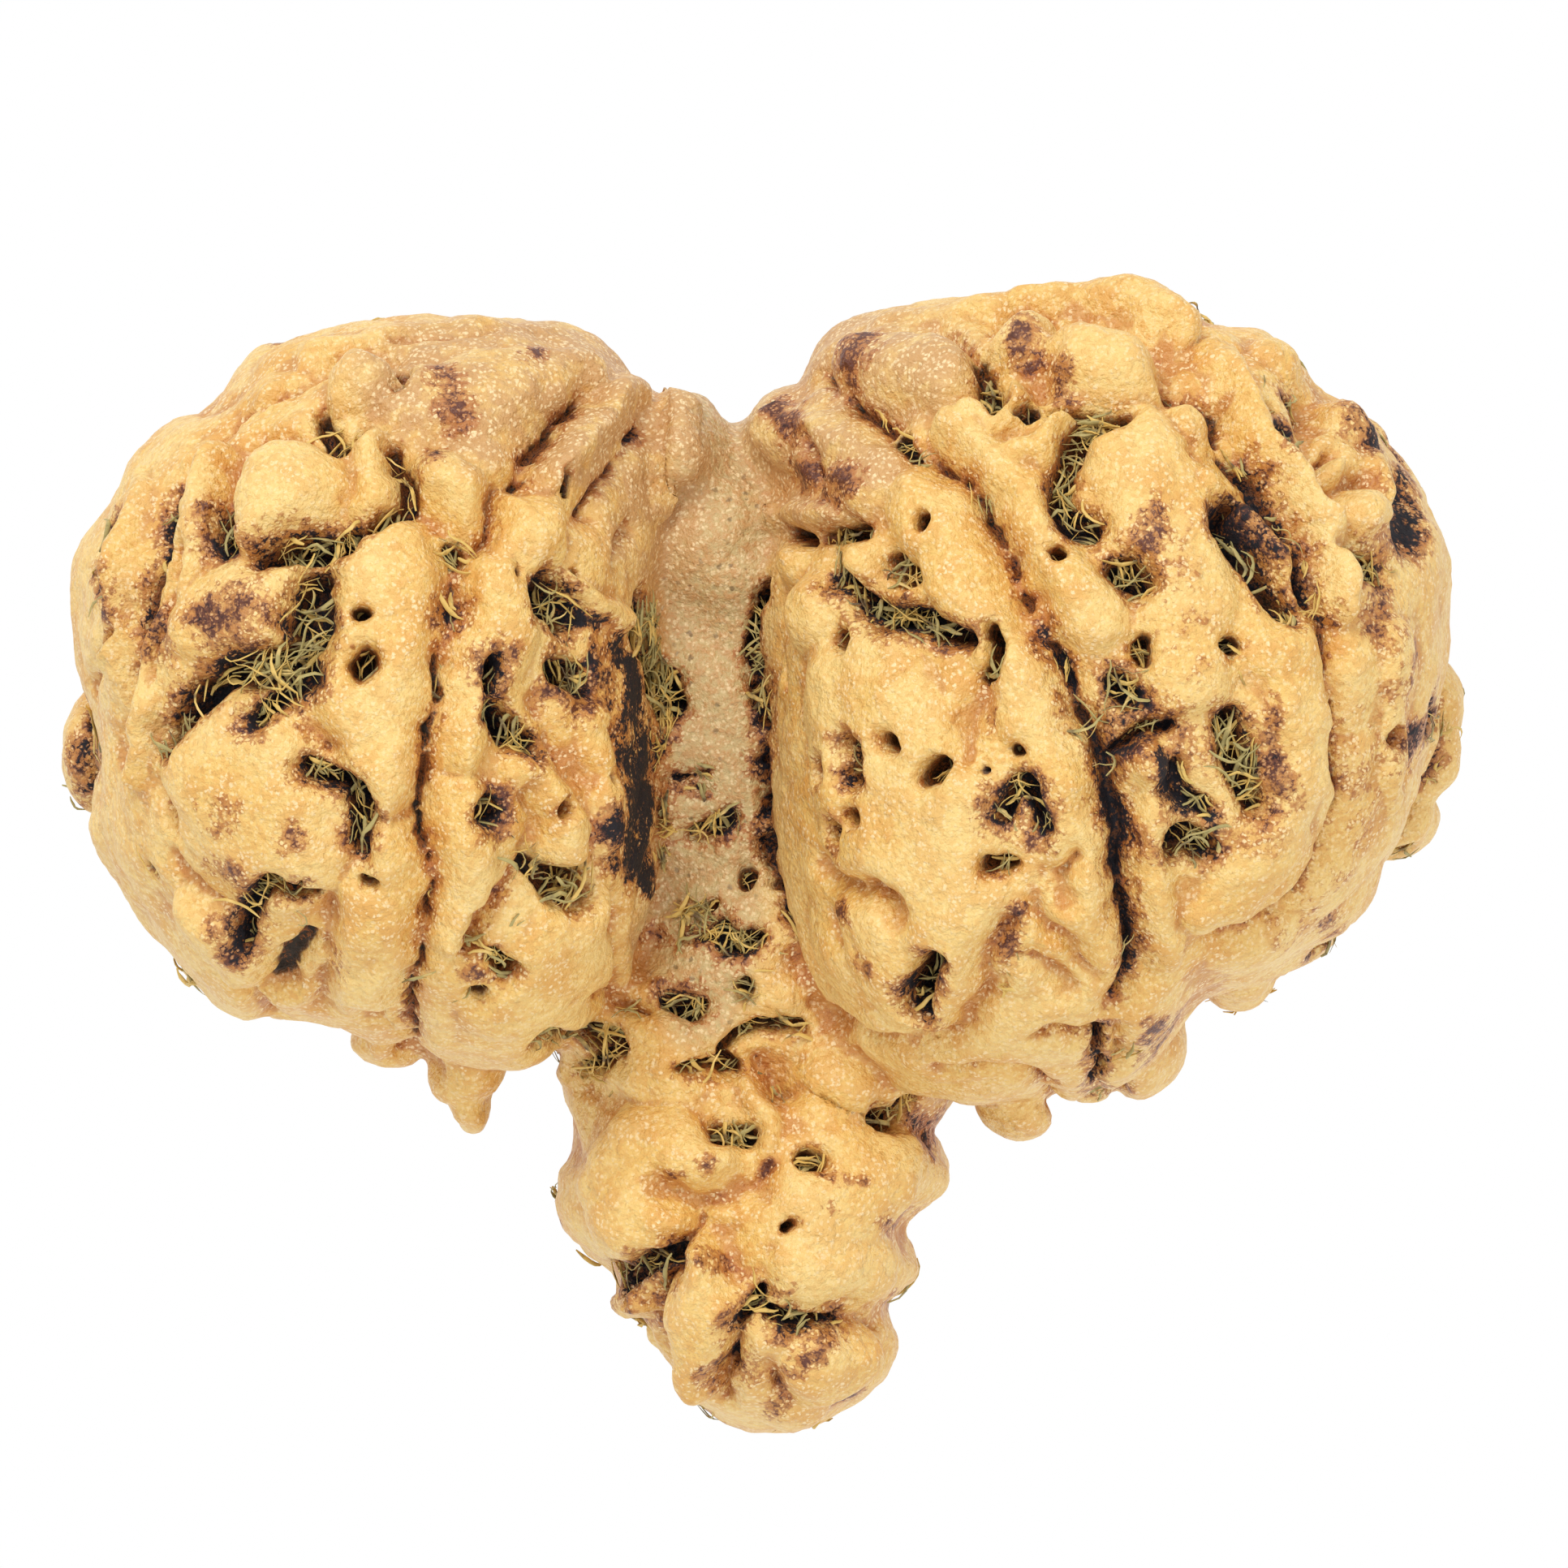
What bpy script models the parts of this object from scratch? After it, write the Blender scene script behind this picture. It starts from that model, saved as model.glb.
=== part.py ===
"""A joined rudraksha bead: two stones of one fruit grown together side by side, with a knobbly
tail below the seam. It is one solid. The relief is drawn as a map seen from above, in
millimetres, and is laid over a plain swollen form."""

import math
import random

import bmesh
import bpy
import numpy as np
from mathutils import Matrix, Vector
from mathutils.bvhtree import BVHTree

# Driving dimension, in metres; every other length is in map millimetres
BEAD_WIDTH = 0.042
REST_TRIM = 0.25  # cut off flat below each of the three low points
REST_CLEAR = (0.4, 1.3)  # the relief grows in between these heights, which keeps the flats plain

# Fineness of the working mesh and of the finished solid
VOXEL = 0.3
TRIANGLES = 11800
FORM_SMOOTHING = 4
RELIEF_SMOOTHING = 3
SWELL_SEGMENTS = 240
SWELL_RINGS = 72
LUMP_SEGMENTS = 48
LUMP_RINGS = 24

# A rim outline is read in this many directions; its bumps fade between these shares of the height
RIM_SAMPLES = 720
SHARP_WIDTH = 3
PLAIN_WIDTH = 22
RIM_FADE = (0.25, 0.75)

# The map is laid on the form from above; where it overhangs, at the height of the rims
RIM_HEIGHT = 10.0
RAY_LENGTH = 50
CHAIN_STEP = 0.6
WALL_STEEPNESS = 2.5
LEAST_HALF_WIDTH = 0.3
LEVEL_DEPTH = 0.8  # a carving this deep takes all raised relief away
STEEP_FADE = 0.5  # raised relief fades where the form is steeper than this upright share

# Size and amount of the waver in every drawn line, and of the wrinkles all over
NOISE_SEEDS = (11, 12)
NOISE_SPREAD = 17.37
NOISE_GAIN = 1.6
WAVER = ((1.5, 0.24),)
WRINKLE_LAYER = 7
WRINKLES = ((3.0, 0.45), (1.4, 0.08))
WRINKLE_LEVEL = 0.3

# The trough between the lobes: its middle line from top to bottom, and how it is melted smooth
TROUGH = [(-1.2, 13.0), (-1.3, 10.0), (-1.4, 7.0), (-1.5, 3.0), (-1.4, 0.0), (-1.6, -2.5), (-1.8, -4.5)]
TROUGH_EDGES = (1.0, 3.4)
TROUGH_ENDS = (-7.5, 14.5)
TROUGH_SMOOTHING = 30

BEAD_COLOUR = (0.80, 0.50, 0.20, 1.0)
BEAD_ROUGHNESS = 0.62

# Swollen forms: middle, half height, fullness and the rim outline, counter-clockwise
SWELLS = {
    "left_lobe": {
        "middle": (-11.6, 4.8, 11.0),
        "half_height": 11.0,
        "fullness": 2.15,
        "rim": [
            (-3.0, 13.9), (-3.9, 14.3), (-4.2, 14.8), (-4.9, 15.5), (-5.6, 15.7), (-7.0, 16.0),
            (-8.6, 16.15), (-11.0, 16.1), (-13.2, 15.7), (-15.0, 15.0), (-15.5, 14.5),
            (-15.9, 13.8), (-16.7, 13.3), (-17.6, 13.0), (-18.2, 12.3), (-18.8, 11.6),
            (-19.5, 10.5), (-20.0, 9.4), (-20.4, 8.3), (-20.6, 6.6), (-20.4, 5.4), (-20.0, 4.2),
            (-19.8, 3.0), (-19.8, 1.8), (-19.9, 0.8), (-19.6, -0.2), (-18.9, -1.2),
            (-18.0, -2.4), (-17.3, -3.5), (-16.4, -4.3), (-15.4, -4.9), (-13.3, -5.0),
            (-12.0, -5.3), (-10.8, -5.8), (-9.8, -6.2), (-8.2, -6.4), (-6.8, -6.2),
            (-5.2, -5.4), (-3.9, -3.6), (-3.2, -1.2), (-2.9, 1.5), (-2.9, 5.0), (-2.9, 8.0),
            (-2.8, 11.0), (-2.6, 13.0),
        ],
    },
    "right_lobe": {
        "middle": (10.4, 4.8, 11.3),
        "half_height": 11.3,
        "fullness": 2.15,
        "rim": [
            (18.4, -0.6), (19.2, 0.9), (19.7, 2.6), (20.1, 4.2), (20.4, 5.6), (20.5, 7.2),
            (20.7, 8.4), (20.4, 9.6), (19.9, 10.6), (19.2, 11.7), (18.4, 12.8), (17.5, 13.6),
            (16.6, 13.4), (16.4, 14.0), (15.9, 14.9), (15.2, 15.5), (14.0, 15.7), (13.1, 16.0),
            (12.6, 16.6), (11.8, 17.2), (11.0, 17.35), (10.0, 17.1), (9.2, 16.8), (8.6, 17.0),
            (7.8, 16.7), (6.5, 16.8), (4.8, 16.5), (3.5, 16.2), (2.3, 15.7), (1.5, 15.0),
            (1.1, 14.3), (0.6, 12.8), (0.3, 11.0), (0.0, 8.0), (-0.1, 5.0), (0.0, 1.5),
            (0.5, -1.2), (1.2, -3.4), (2.4, -5.6), (4.2, -7.0), (6.2, -7.4), (8.6, -7.3),
            (10.8, -6.9), (12.0, -5.9), (12.9, -4.4), (14.4, -4.0), (15.8, -3.2), (17.2, -2.2),
        ],
    },
    "tail": {
        "middle": (-0.3, -11.2, 6.4),
        "half_height": 6.4,
        "fullness": 2.3,
        "rim": [
            (4.8, -7.6), (5.4, -8.6), (5.7, -9.4), (5.5, -10.0), (4.7, -10.6), (4.1, -11.1),
            (4.4, -11.8), (4.65, -12.4), (4.2, -13.0), (3.7, -13.4), (3.7, -13.8),
            (4.05, -14.3), (3.7, -15.2), (3.1, -16.0), (2.3, -16.5), (1.7, -17.1), (0.8, -17.35),
            (-0.1, -17.2), (-1.2, -16.85), (-2.1, -16.4), (-2.5, -15.8), (-2.8, -15.0),
            (-3.5, -14.4), (-4.2, -13.9), (-4.6, -13.3), (-4.3, -12.4), (-5.1, -12.1),
            (-5.9, -11.3), (-6.3, -10.4), (-6.2, -9.4), (-5.6, -8.8), (-5.7, -8.0),
            (-6.0, -7.2), (-5.4, -5.0), (-2.0, -4.0), (2.0, -4.0), (4.6, -5.6),
        ],
    },
}

# Plain lumps that join the swollen forms or stand out from under them: x, y, z and three radii
LUMPS = [
    (-1.2, 4.5, 7.3, 4.6, 7.6, 6.6),
    (-1.3, 9.2, 8.6, 3.4, 3.7, 6.2),
    (0.4, -2.6, 6.9, 5.4, 5.2, 6.3),
    (-2.7, -5.2, 7.0, 3.9, 3.0, 5.8),
    (2.6, -5.6, 6.9, 3.8, 3.4, 5.6),
    (-2.2, 11.9, 10.6, 1.3, 2.1, 4.6),
    (0.6, 12.2, 10.0, 1.1, 1.9, 4.8),
    (-19.3, 3.1, 7.8, 1.7, 2.2, 3.0),
    (19.3, 4.0, 7.4, 1.65, 2.6, 3.2),
    (18.5, 1.2, 6.6, 1.7, 1.5, 2.8),
    (15.0, -1.9, 7.2, 2.3, 1.8, 3.4),
    (14.1, -3.4, 7.4, 1.3, 1.25, 3.0),
    (11.3, -5.3, 8.0, 1.3, 2.0, 3.0),
    (9.6, -5.9, 8.0, 1.3, 1.6, 3.0),
    (7.6, -7.2, 8.0, 1.3, 1.4, 3.0),
    (-8.8, -6.3, 8.2, 1.2, 1.2, 2.6),
    (-8.7, -7.5, 7.8, 0.65, 0.85, 1.5),
    (-11.1, -5.6, 8.2, 1.2, 0.8, 2.4),
]


# Raised relief seen from above: height, crown (2 is a knob, 4 a flat-topped pad), then x, y and
# outer radius at each point of its middle line
RAISED = [
    # Left lobe, outer side
    (0.65, 2.0, [(-18.4, 11.2, 0.5), (-18.7, 9.6, 0.55), (-19.1, 7.8, 0.55), (-19.6, 5.9, 0.5)]),
    (0.65, 2.5, [(-16.2, 11.6, 0.7), (-16.9, 9.7, 0.9), (-17.2, 8.0, 0.8), (-17.9, 6.2, 0.7),
                 (-18.3, 4.2, 0.6), (-18.4, 2.3, 0.5)]),
    (0.50, 2.2, [(-16.9, 11.9, 0.5), (-15.6, 13.0, 0.6), (-14.3, 13.9, 0.6)]),
    (1.50, 2.6, [(-13.9, 10.8, 1.8), (-14.6, 9.5, 0.9)]),
    (1.20, 2.2, [(-11.9, 13.8, 1.1)]),
    (0.70, 2.0, [(-11.6, 12.3, 0.45), (-11.5, 10.6, 0.8)]),
    (0.75, 3.0, [(-16.7, 6.9, 1.3), (-14.9, 7.5, 1.6), (-13.7, 8.2, 0.7)]),
    (0.65, 3.5, [(-15.6, 1.8, 2.9), (-14.2, -0.2, 1.9)]),
    (0.55, 2.2, [(-15.3, 4.4, 0.45)]),
    (0.60, 3.2, [(-16.4, -1.9, 1.3), (-15.2, -3.5, 1.1)]),
    (0.45, 2.6, [(-13.7, -4.3, 1.0)]),
    # Left lobe, between the two clefts
    (0.70, 3.2, [(-11.3, 9.0, 1.5), (-11.0, 7.2, 1.9), (-11.4, 4.6, 1.8), (-11.0, 2.4, 1.3)]),
    (0.60, 3.2, [(-10.8, 0.2, 1.1), (-11.3, -2.0, 1.6), (-12.0, -3.9, 1.4)]),
    (0.80, 2.2, [(-9.5, 11.2, 1.0), (-8.7, 10.6, 1.0)]),
    (0.90, 2.4, [(-6.8, 9.6, 1.4)]),
    (0.60, 3.0, [(-7.7, 8.0, 1.1), (-7.6, 6.4, 1.3), (-8.6, 5.0, 0.9), (-8.9, 3.2, 0.9)]),
    (0.55, 3.0, [(-8.9, 1.6, 1.0), (-8.6, -0.4, 1.0), (-9.2, -2.4, 0.8)]),
    (0.65, 2.6, [(-6.9, 2.6, 0.9), (-5.6, 0.4, 0.9)]),
    (0.60, 3.0, [(-5.6, -2.5, 1.9), (-7.4, -4.6, 1.6)]),
    # Left lobe, towards the valley
    (0.50, 2.0, [(-5.7, 8.1, 0.45), (-4.1, 6.9, 0.5)]),
    (0.50, 2.2, [(-5.0, 4.0, 0.9), (-4.6, 0.6, 0.7)]),
    (0.80, 2.4, [(-6.4, 11.4, 0.7), (-5.2, 12.8, 0.95), (-3.8, 13.9, 0.7)]),
    (0.70, 2.4, [(-2.5, 13.5, 0.7), (-2.6, 12.0, 0.9), (-3.2, 10.4, 0.7)]),
    (0.60, 3.0, [(-9.8, 13.5, 1.5), (-7.6, 13.9, 1.9), (-5.3, 14.5, 1.0)]),
    (0.40, 3.0, [(-13.2, 14.9, 0.8), (-9.6, 15.9, 0.9), (-6.4, 15.7, 0.8)]),
    # Right lobe, back folds and knobs
    (0.75, 3.0, [(1.9, 14.3, 1.2), (3.8, 14.6, 1.5), (5.6, 14.2, 1.3)]),
    (0.55, 2.4, [(3.0, 16.0, 0.7), (7.3, 16.3, 0.8)]),
    (1.00, 2.4, [(8.0, 15.1, 1.2)]),
    (1.00, 2.2, [(7.8, 16.3, 0.8), (9.6, 16.5, 0.9), (11.3, 16.4, 1.0), (12.4, 15.4, 0.7)]),
    (1.35, 2.6, [(9.3, 14.4, 1.3), (10.8, 14.1, 1.25)]),
    (0.95, 2.2, [(7.5, 11.7, 0.6), (8.6, 12.0, 0.65), (8.9, 12.7, 0.6)]),
    (0.80, 2.0, [(6.2, 12.9, 0.5), (7.2, 12.6, 0.5), (7.6, 13.6, 0.5)]),
    (0.65, 2.4, [(12.8, 13.0, 0.85)]),
    (0.90, 2.2, [(13.4, 14.7, 0.8), (14.2, 13.2, 0.75), (14.8, 12.0, 0.7), (15.8, 11.0, 0.75),
                 (16.5, 10.0, 0.8), (16.9, 9.0, 0.75), (17.1, 7.4, 0.6)]),
    (0.60, 2.0, [(13.1, 11.2, 0.4), (14.6, 9.9, 0.55), (15.4, 8.8, 0.5), (15.9, 7.8, 0.4)]),
    (0.85, 2.2, [(15.3, 14.8, 1.0)]),
    (0.70, 2.2, [(13.5, 15.4, 0.9)]),
    (0.95, 2.4, [(17.4, 12.9, 1.3)]),
    (0.65, 2.2, [(17.0, 11.4, 0.7)]),
    (0.85, 2.4, [(17.6, 10.2, 0.9)]),
    (0.50, 2.0, [(18.0, 11.9, 0.45), (18.5, 10.6, 0.4)]),
    # Right lobe, upper middle
    (0.60, 3.0, [(0.5, 12.6, 1.2), (2.1, 12.2, 1.5), (3.3, 11.1, 1.2)]),
    (0.55, 2.0, [(0.3, 10.1, 0.45), (2.2, 10.1, 0.55)]),
    (0.80, 2.4, [(5.5, 12.7, 0.7), (6.5, 12.0, 1.0), (7.2, 11.0, 1.1), (7.8, 10.0, 1.2),
                 (8.4, 8.9, 1.0), (9.1, 7.8, 1.1), (9.9, 6.9, 0.9)]),
    (0.80, 2.8, [(5.0, 10.4, 1.6), (5.7, 8.6, 1.4), (6.5, 6.9, 1.0)]),
    (0.80, 2.2, [(1.0, 8.7, 0.9)]),
    (0.75, 2.2, [(3.1, 8.7, 0.75)]),
    (0.60, 2.2, [(4.4, 7.6, 0.5)]),
    (0.60, 3.4, [(11.0, 12.2, 1.5), (11.9, 10.2, 1.9), (12.4, 8.0, 1.7), (12.6, 5.6, 1.5)]),
    # Right lobe, the broad face pad and what borders it
    (0.75, 2.4, [(1.6, 7.1, 1.4)]),
    (0.75, 4.0, [(2.8, 4.6, 2.7), (4.0, 1.2, 3.6), (4.4, -2.0, 3.2), (4.4, -3.9, 1.9)]),
    (0.35, 2.2, [(3.5, 0.1, 1.5)]),
    (0.35, 2.2, [(4.3, -1.9, 1.4)]),
    (0.60, 2.8, [(7.2, 5.6, 1.1), (8.3, 3.6, 1.2), (9.2, 1.2, 1.0), (9.5, -1.4, 1.2),
                 (10.1, -3.0, 0.8)]),
    (0.85, 2.2, [(11.3, 2.7, 0.8)]),
    (0.50, 2.2, [(11.4, 1.6, 0.6), (11.6, -0.4, 0.6), (11.9, -3.0, 0.8)]),
    (0.55, 3.0, [(13.5, -1.6, 1.1), (15.2, 0.4, 1.4), (16.1, 3.0, 1.1), (15.7, 5.6, 1.4)]),
    (0.50, 3.0, [(18.6, 6.4, 0.9), (18.6, 4.0, 0.7), (18.7, 1.6, 0.7)]),
    # Tail
    (0.80, 3.0, [(-4.0, -10.2, 2.3), (-3.4, -8.6, 1.6), (-1.6, -9.2, 0.9)]),
    (0.70, 3.2, [(2.4, -10.2, 2.6), (3.6, -9.2, 1.6)]),
    (0.70, 2.6, [(3.3, -12.3, 1.3), (1.0, -12.3, 1.0)]),
    (0.95, 2.6, [(-2.0, -12.0, 0.7), (-1.8, -13.4, 1.35), (-1.9, -15.3, 1.3)]),
    (0.75, 2.4, [(-3.9, -13.4, 0.9)]),
    (0.80, 3.0, [(2.2, -15.1, 2.0)]),
    (0.50, 2.4, [(-3.0, -6.9, 1.3)]),
    (0.45, 2.0, [(-0.5, -6.9, 0.4), (0.1, -8.0, 0.45), (0.1, -9.4, 0.4)]),
    (0.50, 2.6, [(2.0, -7.2, 1.5)]),
]

# What each kind of carving is like: depth, width of the rounded lip and depth of the lip
CUT_KINDS = {
    "pit": (1.15, 0.35, 0.18),
    "hole": (0.95, 0.3, 0.12),
    "pocket": (1.3, 0.45, 0.25),
    "stained": (1.1, 0.4, 0.2),
    "deep": (1.5, 0.5, 0.3),
    "cleft": (1.2, 1.2, 0.6),
    "furrow": (1.0, 1.2, 0.6),
    "seam": (1.1, 0.3, 0.2),
    "groove": (0.75, 0.7, 0.4),
    "step": (0.6, 0.85, 0.5),
    "crease": (0.4, 0.5, 0.2),
    "bowl": (0.9, 1.0, 0.6),
    "dimple": (0.45, 0.9, 0.4),
    "hollow": (0.7, 0.4, 0.2),
}

# Carved relief seen from above: kind, then x, y and half width at each point of its middle line
CARVED = [
    # Left lobe, outer side
    ("stained", [(-19.3, 9.8, 0.35), (-19.7, 8.8, 0.4), (-19.3, 7.7, 0.3)]),
    ("groove", [(-19.3, 6.8, 0.1), (-19.6, 6.2, 0.1), (-20.0, 5.0, 0.15)]),
    ("cleft", [(-17.6, 10.8, 0.25), (-17.8, 10.0, 0.35), (-17.8, 9.0, 0.3), (-18.2, 8.2, 0.25),
               (-18.7, 6.8, 0.2)]),
    ("furrow", [(-18.7, 6.8, 0.16), (-18.9, 5.2, 0.14), (-19.05, 3.2, 0.12)]),
    ("step", [(-17.1, 9.2, 0.1), (-17.6, 7.3, 0.1), (-18.0, 5.4, 0.1)]),
    ("step", [(-17.1, 11.4, 0.15), (-16.6, 12.1, 0.15), (-15.5, 13.1, 0.15), (-13.6, 14.2, 0.1)]),
    ("step", [(-15.9, 10.6, 0.12), (-15.6, 11.7, 0.15), (-14.6, 12.5, 0.15), (-13.4, 12.3, 0.15)]),
    ("step", [(-13.2, 14.4, 0.1), (-12.2, 15.0, 0.12), (-11.0, 14.8, 0.1)]),
    ("hollow", [(-20.4, 3.4, 0.3), (-20.3, 2.0, 0.3)]),
    ("stained", [(-15.9, 10.1, 0.35), (-15.8, 9.2, 0.4)]),
    ("deep", [(-14.6, 8.8, 0.25), (-13.6, 9.2, 0.4), (-12.5, 9.2, 0.45), (-11.9, 9.7, 0.3)]),
    ("pocket", [(-10.9, 12.0, 0.25), (-10.4, 11.3, 0.25), (-10.5, 10.3, 0.35), (-11.3, 9.8, 0.3)]),
    ("pocket", [(-13.0, 13.2, 0.25), (-12.9, 12.5, 0.35), (-12.2, 12.3, 0.3), (-11.6, 12.7, 0.2)]),
    ("hole", [(-10.7, 14.1, 0.25), (-10.7, 13.7, 0.25)]),
    ("deep", [(-13.1, 8.0, 0.55), (-13.4, 6.9, 0.75)]),
    ("deep", [(-13.5, 6.3, 0.5), (-14.0, 5.6, 0.55), (-15.0, 5.5, 0.5), (-15.9, 5.5, 0.5),
              (-16.5, 5.0, 0.4), (-17.0, 4.4, 0.4), (-17.6, 3.7, 0.35), (-17.65, 3.1, 0.25)]),
    ("stained", [(-13.4, 5.4, 0.45), (-14.0, 4.8, 0.4), (-14.7, 4.5, 0.3), (-15.0, 3.9, 0.2)]),
    ("hole", [(-11.6, 7.1, 0.28)]),
    ("pit", [(-11.8, 5.7, 0.5)]),
    ("hole", [(-11.55, -0.55, 0.33)]),
    ("hole", [(-18.1, -0.55, 0.25)]),
    ("groove", [(-17.7, 1.9, 0.15), (-17.5, 1.2, 0.2), (-17.45, 0.6, 0.15)]),
    ("deep", [(-13.5, 2.75, 0.18), (-13.0, 2.4, 0.25), (-12.3, 2.25, 0.34), (-11.9, 1.8, 0.42),
              (-11.8, 1.0, 0.42), (-11.85, 0.4, 0.35)]),
    ("groove", [(-13.2, 3.7, 0.12), (-12.8, 3.2, 0.12)]),
    ("pocket", [(-13.2, -1.2, 0.28), (-13.9, -1.05, 0.38), (-14.6, -0.8, 0.42), (-15.0, -1.2, 0.35)]),
    ("stained", [(-15.0, -1.2, 0.3), (-15.4, -2.0, 0.38), (-15.4, -2.5, 0.28)]),
    ("hole", [(-13.5, -0.6, 0.15)]),
    ("step", [(-17.6, 0.0, 0.1), (-17.0, -0.9, 0.12), (-16.0, -1.5, 0.12)]),
    ("step", [(-12.6, -1.5, 0.1), (-12.9, -3.0, 0.12), (-13.1, -4.6, 0.12)]),
    ("bowl", [(-14.4, -3.9, 0.35), (-13.9, -3.1, 0.4), (-13.4, -2.6, 0.25)]),
    ("step", [(-15.4, -4.0, 0.15), (-14.6, -4.9, 0.15)]),
    ("step", [(-11.9, -4.3, 0.15), (-11.3, -5.2, 0.15)]),
    # Left lobe, the main cleft and inwards
    ("furrow", [(-9.0, 8.95, 0.2), (-8.9, 8.4, 0.1), (-9.1, 7.3, 0.14), (-9.3, 6.7, 0.08),
                (-9.5, 6.0, 0.08), (-9.6, 5.4, 0.08), (-9.45, 4.8, 0.15), (-9.7, 4.0, 0.07),
                (-9.9, 3.0, 0.08), (-9.95, 2.3, 0.12), (-10.0, 1.6, 0.09), (-10.0, 0.3, 0.14),
                (-9.85, -0.5, 0.08), (-9.75, -1.5, 0.12), (-9.9, -2.5, 0.07), (-10.1, -3.3, 0.07),
                (-10.3, -4.1, 0.1), (-10.7, -4.7, 0.16), (-10.5, -5.5, 0.14), (-10.4, -6.3, 0.12)]),
    ("pit", [(-9.05, 9.1, 0.3), (-8.95, 8.7, 0.3)]),
    ("stained", [(-9.1, 7.4, 0.17), (-9.2, 7.1, 0.17)]),
    ("pit", [(-9.6, 5.5, 0.14), (-9.5, 4.8, 0.26)]),
    ("pit", [(-9.9, 2.8, 0.16), (-9.95, 2.1, 0.2)]),
    ("pit", [(-10.0, 0.5, 0.16), (-10.0, 0.1, 0.24)]),
    ("pit", [(-10.65, -4.5, 0.2), (-10.7, -4.9, 0.24)]),
    ("hole", [(-7.25, 8.3, 0.2)]),
    ("step", [(-10.6, 10.4, 0.1), (-9.8, 10.1, 0.12), (-9.2, 9.6, 0.12)]),
    ("groove", [(-7.7, 11.0, 0.12), (-8.0, 10.2, 0.12), (-8.1, 9.5, 0.12), (-8.4, 8.9, 0.12)]),
    ("stained", [(-8.0, 5.7, 0.3), (-8.2, 4.9, 0.25)]),
    ("deep", [(-8.1, 4.2, 0.3), (-7.4, 3.8, 0.4), (-6.8, 3.25, 0.35)]),
    ("stained", [(-8.0, 1.4, 0.45)]),
    ("pit", [(-6.0, 1.4, 0.38)]),
    ("pocket", [(-6.9, -0.25, 0.25), (-6.2, -0.75, 0.5), (-5.4, -1.05, 0.55)]),
    ("groove", [(-6.8, 0.0, 0.2), (-7.6, -1.1, 0.22), (-8.2, -2.0, 0.25), (-8.5, -2.8, 0.2)]),
    ("pocket", [(-7.9, -2.9, 0.25), (-7.6, -3.4, 0.4)]),
    ("hole", [(-8.5, -4.0, 0.28)]),
    ("step", [(-6.9, 2.0, 0.1), (-6.6, 0.9, 0.1), (-6.9, 0.2, 0.1)]),
    ("deep", [(-6.3, 7.7, 0.6), (-5.7, 7.1, 0.65)]),
    ("deep", [(-5.9, 5.6, 0.45), (-5.3, 5.2, 0.5)]),
    ("step", [(-6.5, 4.6, 0.1), (-6.2, 3.2, 0.12), (-5.4, 2.4, 0.1)]),
    ("hole", [(-5.5, 8.4, 0.2)]),
    ("hole", [(-4.7, 2.5, 0.25)]),
    ("furrow", [(-5.2, 13.7, 0.12), (-5.7, 13.1, 0.16), (-6.4, 12.5, 0.18), (-6.9, 11.9, 0.2),
                (-7.2, 11.1, 0.2)]),
    ("crease", [(-11.0, 15.3, 0.1), (-9.5, 15.4, 0.12), (-8.2, 15.5, 0.1)]),
    ("hole", [(-6.1, 11.1, 0.2), (-5.9, 10.8, 0.2)]),
    ("furrow", [(-3.4, 12.8, 0.13), (-3.8, 12.2, 0.14), (-4.1, 11.5, 0.14), (-4.9, 10.9, 0.14),
                (-5.1, 10.3, 0.12)]),
    ("groove", [(-3.8, 9.8, 0.15), (-4.1, 9.2, 0.2), (-4.2, 8.8, 0.15)]),
    ("step", [(-4.4, -1.4, 0.12), (-4.1, -2.9, 0.12), (-4.3, -4.0, 0.12)]),
    # The valley and the seam down its right side
    ("deep", [(-3.5, 7.4, 0.4), (-3.6, 6.6, 0.4), (-3.2, 5.5, 0.5), (-2.8, 4.6, 0.4)]),
    ("seam", [(0.3, 8.0, 0.32), (-0.1, 7.6, 0.32), (-0.4, 6.5, 0.3), (-0.3, 5.5, 0.26),
              (-0.2, 4.5, 0.2), (-0.1, 3.5, 0.16), (-0.1, 2.0, 0.16), (0.0, 1.0, 0.15),
              (0.2, -0.3, 0.15), (0.5, -1.2, 0.14), (0.9, -2.3, 0.14), (1.05, -2.9, 0.12)]),
    ("hollow", [(-2.5, 2.35, 0.12), (-1.6, 2.45, 0.15)]),
    ("hollow", [(-2.4, 2.0, 0.1), (-1.7, 1.85, 0.12)]),
    ("hollow", [(-2.0, 0.5, 0.25), (-1.0, 1.1, 0.3)]),
    ("hole", [(-0.5, -0.6, 0.35)]),
    ("hole", [(-1.6, -1.4, 0.3)]),
    ("hollow", [(-3.1, -2.4, 0.12), (-1.3, -2.4, 0.15)]),
    ("deep", [(-1.3, -2.2, 0.4), (-0.9, -2.7, 0.45), (-0.3, -2.6, 0.35)]),
    ("deep", [(-2.8, -4.2, 0.3), (-2.0, -4.35, 0.35)]),
    ("hole", [(-0.5, -3.9, 0.33)]),
    ("groove", [(-4.8, -4.1, 0.12), (-4.2, -4.3, 0.15), (-3.5, -4.5, 0.12)]),
    ("pocket", [(-6.4, -5.5, 0.35), (-5.2, -5.5, 0.55), (-4.5, -5.7, 0.5)]),
    ("pocket", [(-4.8, -6.1, 0.4), (-5.5, -6.6, 0.35)]),
    ("pocket", [(1.1, -5.2, 0.22), (0.2, -5.2, 0.28), (-0.5, -5.3, 0.3), (-0.9, -5.9, 0.26)]),
    ("pocket", [(-0.7, -6.2, 0.25), (-1.5, -6.3, 0.28), (-2.5, -6.4, 0.22)]),
    ("groove", [(0.1, -6.3, 0.15), (0.4, -7.0, 0.2), (0.9, -7.1, 0.12)]),
    # Right lobe, top
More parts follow.
